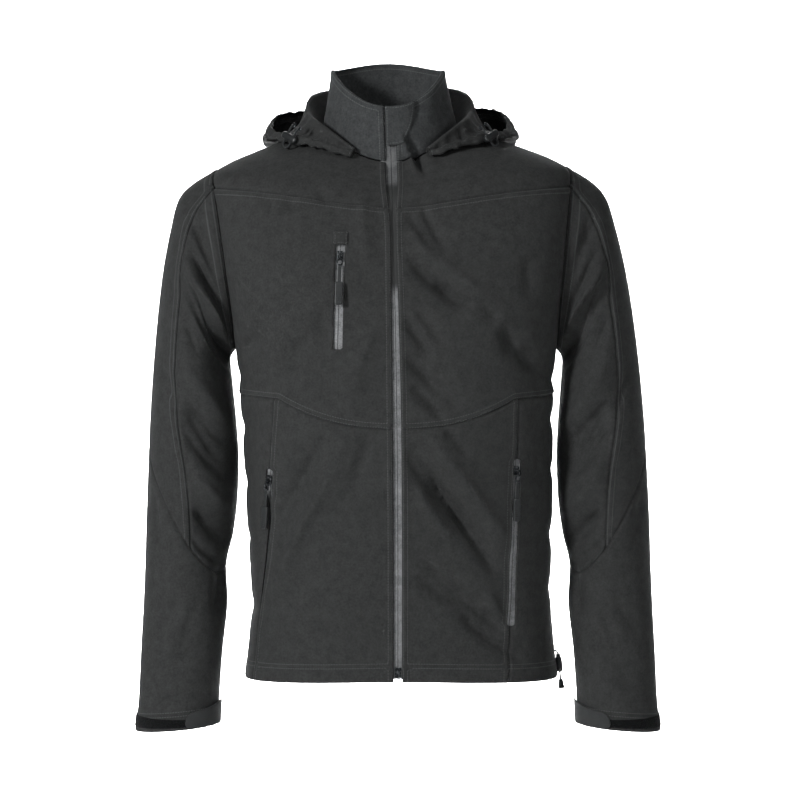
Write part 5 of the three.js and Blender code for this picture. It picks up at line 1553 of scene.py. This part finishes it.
def back():
    """The back and its yoke, from side seam round to side seam."""
    seams = seams_of(LEFT_POCKET)

    def opposite(edge):
        return lambda v: edge(v) * np.array([-1, 1]) + np.array([360, 0])

    def panel(node, near, width, height, edges, keep):
        def across(share):
            low = near(np.array(share))
            high = opposite(near)(np.array(share))
            return lambda u: between(low, high, np.asarray(u)[..., None])

        u, v = spaced(width), spaced(height, keep=keep)
        points, normals = body_point(*patch(near, opposite(near), across(0.0), across(1.0), u, v))
        cloth(node, points, normals, edges)

    body_edge = chain((12, seams["side_low"]), (2, seams["side_high"]), (9, seams["arm_back"]))
    yoke_edge = chain((3, seams["arm_back_yoke"]), (3, seams["shoulder"]))
    hem = dict(left="over", right="over", foot="hem", top="over")
    panel("back_panel", body_edge, 470, 620, hem, (12 / 23, 14 / 23))
    plain = dict(left="under", right="under", foot="under", top="under")
    panel("back_yoke", yoke_edge, 400, 120, plain, (0.5,))


front(LEFT_POCKET, "left")
front(RIGHT_POCKET, "right")
back()


# Sleeves


def sleeve(side, name):
    """Top panel, under panel and forearm of one sleeve, with the cuff's strip and tab."""
    top_start = SLEEVE_BACK_SEAM - 360

    def front_turn(v):
        return track(SLEEVE_FRONT_SEAM, "share", "turn", v)

    def panel(node, start, end, width, edges):
        def down(turn_at):
            foot = float(elbow_seam(turn_at(np.array(1.0))))
            return lambda v: pair(turn_at(v), v * foot)

        def foot_edge(u):
            turn = between(float(start(np.array(1.0))), float(end(np.array(1.0))), u)
            return pair(turn, elbow_seam(turn))

        def head(u):
            return pair(between(float(start(np.array(0.0))), float(end(np.array(0.0))), u), 0)

        u, v = spaced(width), spaced(440)
        turn, t = patch(down(start), down(end), head, foot_edge, u, v)
        points, normals = sleeve_point(side, turn, t)
        cloth(f"{node}_{name}", points, normals, edges)

    panel(
        "sleeve_top",
        lambda v: top_start + 0 * v,
        front_turn,
        210,
        dict(left="under", right="over", foot="over", top="under"),
    )
    panel(
        "sleeve_under",
        front_turn,
        lambda v: SLEEVE_BACK_SEAM + 0 * v,
        230,
        dict(left="under", right="over", foot="over", top="under"),
    )
    turns = np.linspace(top_start, SLEEVE_BACK_SEAM, 84, endpoint=False)
    v = spaced(230)
    turn, share = np.meshgrid(turns, v)
    t = between(elbow_seam(turn), SLEEVE_END, share)
    points, normals = sleeve_point(side, turn, t)
    cloth(f"sleeve_forearm_{name}", points, normals, dict(foot="under", top="hem"), closed=True)
    cuff_piece("cuff_strip", name, side, STRIP, LOOPS)
    cuff_piece("cuff_tab", name, side, TAB, TAB_RUBBER)


def forearm_turn(column):
    """The turn of a column of the forearm's solid, whose cells differ over and under the arm."""
    over = between(SLEEVE_BACK_SEAM - 360, SLEEVE_FRONT_FOOT, column / 10)
    under = between(SLEEVE_FRONT_FOOT, SLEEVE_BACK_SEAM, (column - 10) / 14)
    return np.where(column < 10, over, under)


def cuff_piece(kind, name, side, form, finish):
    """A piece round the cuff, between two columns and two rows of the forearm's solid. The tab's
    upper edge slopes, and its outer end is round."""
    column = np.linspace(*form["columns"], 90)[None]
    low, high = form["rows"]
    share = np.array([0, 0.03, 0.08, 0.16, 0.3, 0.5, 0.7, 0.84, 0.92, 0.97, 1])[:, None]
    if kind == "cuff_tab":
        past = (column - form["columns"][0]) / 1.1
        pinch = np.sqrt(1 - np.clip(1 - past, 0, 1) ** 2)
        middle = between(low + 0.55, high, 0.5)
        low = between(middle, low + 0.4 * smooth(6, 0, past), pinch)
        high = between(middle, high, pinch)
    row = between(low, high, share) + 0 * column
    turn = forearm_turn(column + 0 * row)
    t = between(elbow_seam(turn), SLEEVE_END, row / 7)
    points, normals = sleeve_point(side, turn, t)
    away, run = edge_distance(points, "foot")
    far, _ = edge_distance(points, "top")
    rim = np.minimum(away, far)
    height = form["lift"] + form["thick"] - 0.5 * bell(rim, 0.8)
    points = points + normals * height[..., None]
    piece = shell(f"{kind}_{name}_piece", points, normals, form["thick"], rim, run)
    dress(piece, f"{kind}_{name}", finish)


sleeve(1, "left")
sleeve(-1, "right")


# Collar, chin guard and hood


def collar():
    """The stand collar from one edge of the front zip round to the other."""
    level = between(COLLAR_FOOT, RIM_LEVEL, spaced(72))[:, None]
    low = zip_azimuth(level)
    points, normals = body_point(between(low, 360 - low, spaced(470)[None]), level)
    edges = dict(left="over", right="over", foot="under", top="over")
    cloth("collar", points, normals, edges, COLLAR_CLOTH, finish=COLLAR)


def chin_guard():
    """The guard over the head of the zip, whose outer edge curves from the rim down to the zip."""
    share = spaced(52, 3, (True, True))[:, None]
    level = between(CHIN["bottom"], RIM_LEVEL - 0.5, share)
    reach = between(CHIN["foot"], CHIN["reach"], np.sin(share * np.pi / 2) ** 0.7)
    low, high = azimuth_at(level, CHIN["past"]), azimuth_at(level, reach)
    points, normals = body_point(between(low, high, spaced(34, 3)[None]), level)
    points = points + normals * (CHIN["thick"] + 0.9)
    edges = dict(left="free", right="free", foot="free", top="free")
    cloth("chin_guard", points, normals, edges, CHIN["thick"], finish=COLLAR)


def hood():
    """The folded hood's three panels."""
    seams = (HOOD_FRONT, HOOD_SIDE_SEAM, 360 - HOOD_SIDE_SEAM, 360 - HOOD_FRONT)
    forms = (("free", "over"), ("under", "under"), ("over", "free"))
    for name, start, end, (left, right) in zip(("left", "centre", "right"), seams, seams[1:], forms):
        azimuth = between(start, end, spaced(190 if name == "centre" else 330))
        below = spaced(250, near=(True, False))
        at_rim = 1 - spaced(30, 2.2, (True, False))[::-1] * HOOD_RIM_SHARE
        share = np.unique(np.concatenate([below[below < 1 - HOOD_RIM_SHARE], at_rim]))
        points, normals = hood_point(azimuth[None], share[:, None])
        edges = dict(left=left, right=right, foot="under", top="casing")
        cloth(f"hood_{name}", points, normals, edges, HOOD_CLOTH)


collar()
chin_guard()
hood()


# Zips


def tape(node, points, normals, across, shade):
    """A zip's laminated tape behind its opening, with the distances that its ribs follow. Its shade is
    painted shade: 1 where the tape is painted dark as if it lay in shadow."""
    piece = shell(f"{node}_tape", points, normals, 1)
    along = lengths(points, 0)
    for name, values in (("tape_across", across), ("tape_along", along), ("tape_painted_shade", shade)):
        attribute(piece, name, np.tile(np.broadcast_to(values, points.shape[:2]).ravel(), 2))
    dress(piece, node, TAPE_FILM)


def hoop(outer, inner, half, edge):
    """A flat ring between two outlines, each given by how far it is drawn into the ring. All four
    edges have a quarter round."""
    turn = np.linspace(0, np.pi / 2, 4)
    draw, rise = edge * (1 - np.cos(turn)), half - edge + edge * np.sin(turn)
    rings = []
    for made, order in ((outer, 1), (inner, -1)):
        profile = [*zip(draw[::-1], -rise[::-1]), *zip(draw, rise)][::order]
        rings += [np.column_stack([made(d), np.full(len(made(d)), z)]) for d, z in profile]
    return loft(rings, capped=False)


def turned_over(part, at):
    """A loft whose own axis is Z, laid along X and moved."""
    points, faces = part
    return points[:, [2, 0, 1]] + np.array(at), faces


def both_sides(half):
    """Distances to one side of a middle line, given to both."""
    return np.concatenate([-half[::-1], half])[None]


def pocket_zip(pocket):
    """A pocket's tape, the slider with the bridge that carries the pull's pin, and the pull:
    a link with an eye and a ring, and a moulded grip on its strap."""
    name = pocket["name"]
    aside = both_sides(POCKET_TAPE)
    z = np.arange(pocket["foot_z"] - 3, pocket["top_z"] + 3.1, 3.2)[:, None]
    points, normals = body_point(*pocket_level(pocket, z, aside))
    # Painted shade: on the bowed pocket the tape below the slider is painted dark, as if in the shadow of
    # its narrow gap
    shade = 1 - smooth(pocket["top_z"] - 44, pocket["top_z"] - 26, z) if pocket["bow"] else 0 * z
    tape(f"{name}_zip", points - normals * TAPE_DEPTH, normals, aside, shade)

    place = pocket_frame(pocket, pocket["top_z"] - pocket["parked"], 20, -TAPE_DEPTH)
    posts = [pebble(**POST, at=(way * 2, 0, 4.45)) for way in (-1, 1)]
    pin = tube([(x, 0, PIN_UP) for x in (-PIN["half"], 0, PIN["half"])], PIN["radius"])
    slider = joined(f"{name}_slider_casting", [pebble(**SLIDER), *posts, pin], place)
    dress(slider, f"{name}_slider", LACQUER)

    eye = hoop(
        lambda d: circle(EYE["outer"] - d),
        lambda d: circle(EYE["inner"] + d),
        EYE["half"],
        EYE["edge"],
    )
    arm = pebble(**ARM, thick=LINK["thick"], at=(0, -3.85, PIN_UP))
    points, faces = hoop(
        lambda d: outline(LINK["width"] - 2 * d, LINK["length"] - 2 * d, 2.4 - d),
        lambda d: outline(RING_HOLE["width"] + 2 * d, RING_HOLE["length"] + 2 * d, 1 + d)
        - np.array([0, RING_HOLE["down"]]),
        LINK["thick"] / 2,
        0.4,
    )
    ring = points + np.array([0, LINK_TOP - LINK["length"] / 2, PIN_UP]), faces
    link = joined(f"{name}_pull_link_casting", [turned_over(eye, (0, 0, PIN_UP)), arm, ring], place)
    dress(link, f"{name}_pull_link", LACQUER, f"{name}_pull")

    top = LINK_TOP - LINK["length"] - SEAM_GAP
    strap = pebble(**STRAP, corner=1.2, edge=0.5, at=(0, top - STRAP["length"] / 2, PIN_UP))
    grip_y = top - STRAP["length"] + 3 - GRIP["length"] / 2
    grip = pebble(**GRIP, corner=2.6, edge=1.2, at=(0, grip_y, PIN_UP))
    ribs = [pebble(**RIB, at=(0, grip_y + y, PIN_UP + 1.45)) for y in RIBS_ALONG]
    held = joined(f"{name}_pull_grip_moulding", [strap, grip, *ribs], place)
    dress(held, f"{name}_pull_grip", RUBBER, f"{name}_pull")


def chest_garage():
    """The patch of cloth over the chest zip's head, its corners drawn onto quarter circles."""
    half_x, half_y, corner = GARAGE["width"] / 2, GARAGE["length"] / 2, 1.5
    x, y = np.meshgrid(np.linspace(-half_x, half_x, 25), np.linspace(-half_y, half_y, 24))
    past = np.stack([np.maximum(np.abs(x) - half_x + corner, 0), np.maximum(np.abs(y) - half_y + corner, 0)])
    drawn = past * past.max(0) / np.maximum(np.hypot(*past), 1e-9)
    x, y = x - np.sign(x) * (past - drawn)[0], y - np.sign(y) * (past - drawn)[1]
    height = CHEST_POCKET["top_z"] - GARAGE["below"] + y
    points, normals = body_point(*pocket_level(CHEST_POCKET, height, x))
    points = points + normals * (GARAGE["thick"] + SEAM_GAP)
    edges = dict(left="free", right="free", foot="free", top="free")
    cloth("chest_zip_garage", points, normals, edges, GARAGE["thick"])


def front_zip():
    """The front zip's tape from above the hem to below the rim, its slider and its box."""
    across = both_sides(FRONT_TAPE)
    level = np.arange(HEM_LEVEL + 4, RIM_LEVEL - 3, 3.6)[:, None]
    points, normals = body_point(azimuth_at(level, across), level)
    z = points[..., 2]
    # Painted shade: the tape is painted dark, as if in shadow, from about level -166 to -38, and a little
    # less dark above that up to the rim
    shade = smooth(-172, -160, z) * between(1, 0.55, smooth(-42, -34, z))
    tape("front_zip", points - normals * FRONT_ZIP_DEPTH, normals, across, shade)

    def on_tape(level, thick):
        near = np.array([level, level + 2, level - 2], float)
        points, normals = seat_point(np.zeros(3), near)
        place = frame_on(points[0], normals[0], points[0] + points[1] - points[2])
        place[:3, 3] += normals[0] * (thick / 2 + METAL_GAP - FRONT_ZIP_DEPTH)
        return place

    slider = [pebble(**FRONT_SLIDER), pebble(**FRONT_PULL)]
    slider = joined("front_zip_slider_casting", slider, on_tape(96, FRONT_SLIDER["thick"]))
    dress(slider, "front_zip_slider", LACQUER)
    box = joined("front_zip_box_casting", [pebble(**FRONT_BOX)], on_tape(HEM_LEVEL + 12, FRONT_BOX["thick"]))
    dress(box, "front_zip_box", LACQUER)


front_zip()
for zipped in (CHEST_POCKET, LEFT_POCKET, RIGHT_POCKET):
    pocket_zip(zipped)
chest_garage()


# The studio: a pale floor that curves up behind the jacket, and large soft lights


def plain_paper(name, colour):
    """Matt seamless background paper."""
    material, tree = blank(name)
    return finished(material, tree, {"Base Color": linear(colour), "Roughness": 0.9})


def backdrop():
    """A floor that turns up into a wall on a quarter round: its profile carried from side to side."""
    turn = np.linspace(0, np.pi / 2, 16)
    y = np.r_[-ROOM_REACH, WALL - WALL_CURVE + WALL_CURVE * np.sin(turn), WALL]
    z = np.r_[FLOOR, FLOOR + WALL_CURVE * (1 - np.cos(turn)), ROOM_TOP]
    x = np.broadcast_to([[-ROOM_REACH, ROOM_REACH]], (len(y), 2))
    points = np.stack([x, np.tile(y[:, None], 2), np.tile(z[:, None], 2)], -1)
    faces = grid_faces(len(y), 2)
    piece = new_mesh("backdrop", points, faces[:, ::-1])
    piece.data.materials.append(plain_paper("seamless_paper", "#fcfcfc"))


def soft_light(name, at, aim, size, power, spread=180):
    """A square soft box that faces its aim, sizes in metres, with a grid that limits its spread."""
    data = bpy.data.lights.new(name, "AREA")
    data.spread = math.radians(spread)
    data.shape, data.size, data.energy = "SQUARE", size, power
    lamp = bpy.data.objects.new(name, data)
    direction = np.array(aim, float) - np.array(at, float)
    lamp.location = at
    lamp.rotation_euler = Vector(direction).to_track_quat("-Z", "Y").to_euler()
    bpy.context.scene.collection.objects.link(lamp)


backdrop()
soft_light("key", (-2.0, -2.2, 0.55), JACKET_MIDDLE, 0.5, 65)
soft_light("fill", (2.4, -2.0, 0.2), JACKET_MIDDLE, 1.6, 8)
soft_light("top", (0.3, -2.1, 1.7), JACKET_MIDDLE, 0.5, 8)
soft_light("paper", (0, 2.3, 3.4), (0, 3.6, -0.6), 3.0, 400, 60)
world = bpy.data.worlds.new("studio")
world.use_nodes = True
world.node_tree.nodes["Background"].inputs["Color"].default_value = (1, 1, 1, 1)
world.node_tree.nodes["Background"].inputs["Strength"].default_value = WORLD_LIGHT
bpy.context.scene.world = world
bpy.context.scene.view_settings.view_transform = "Standard"
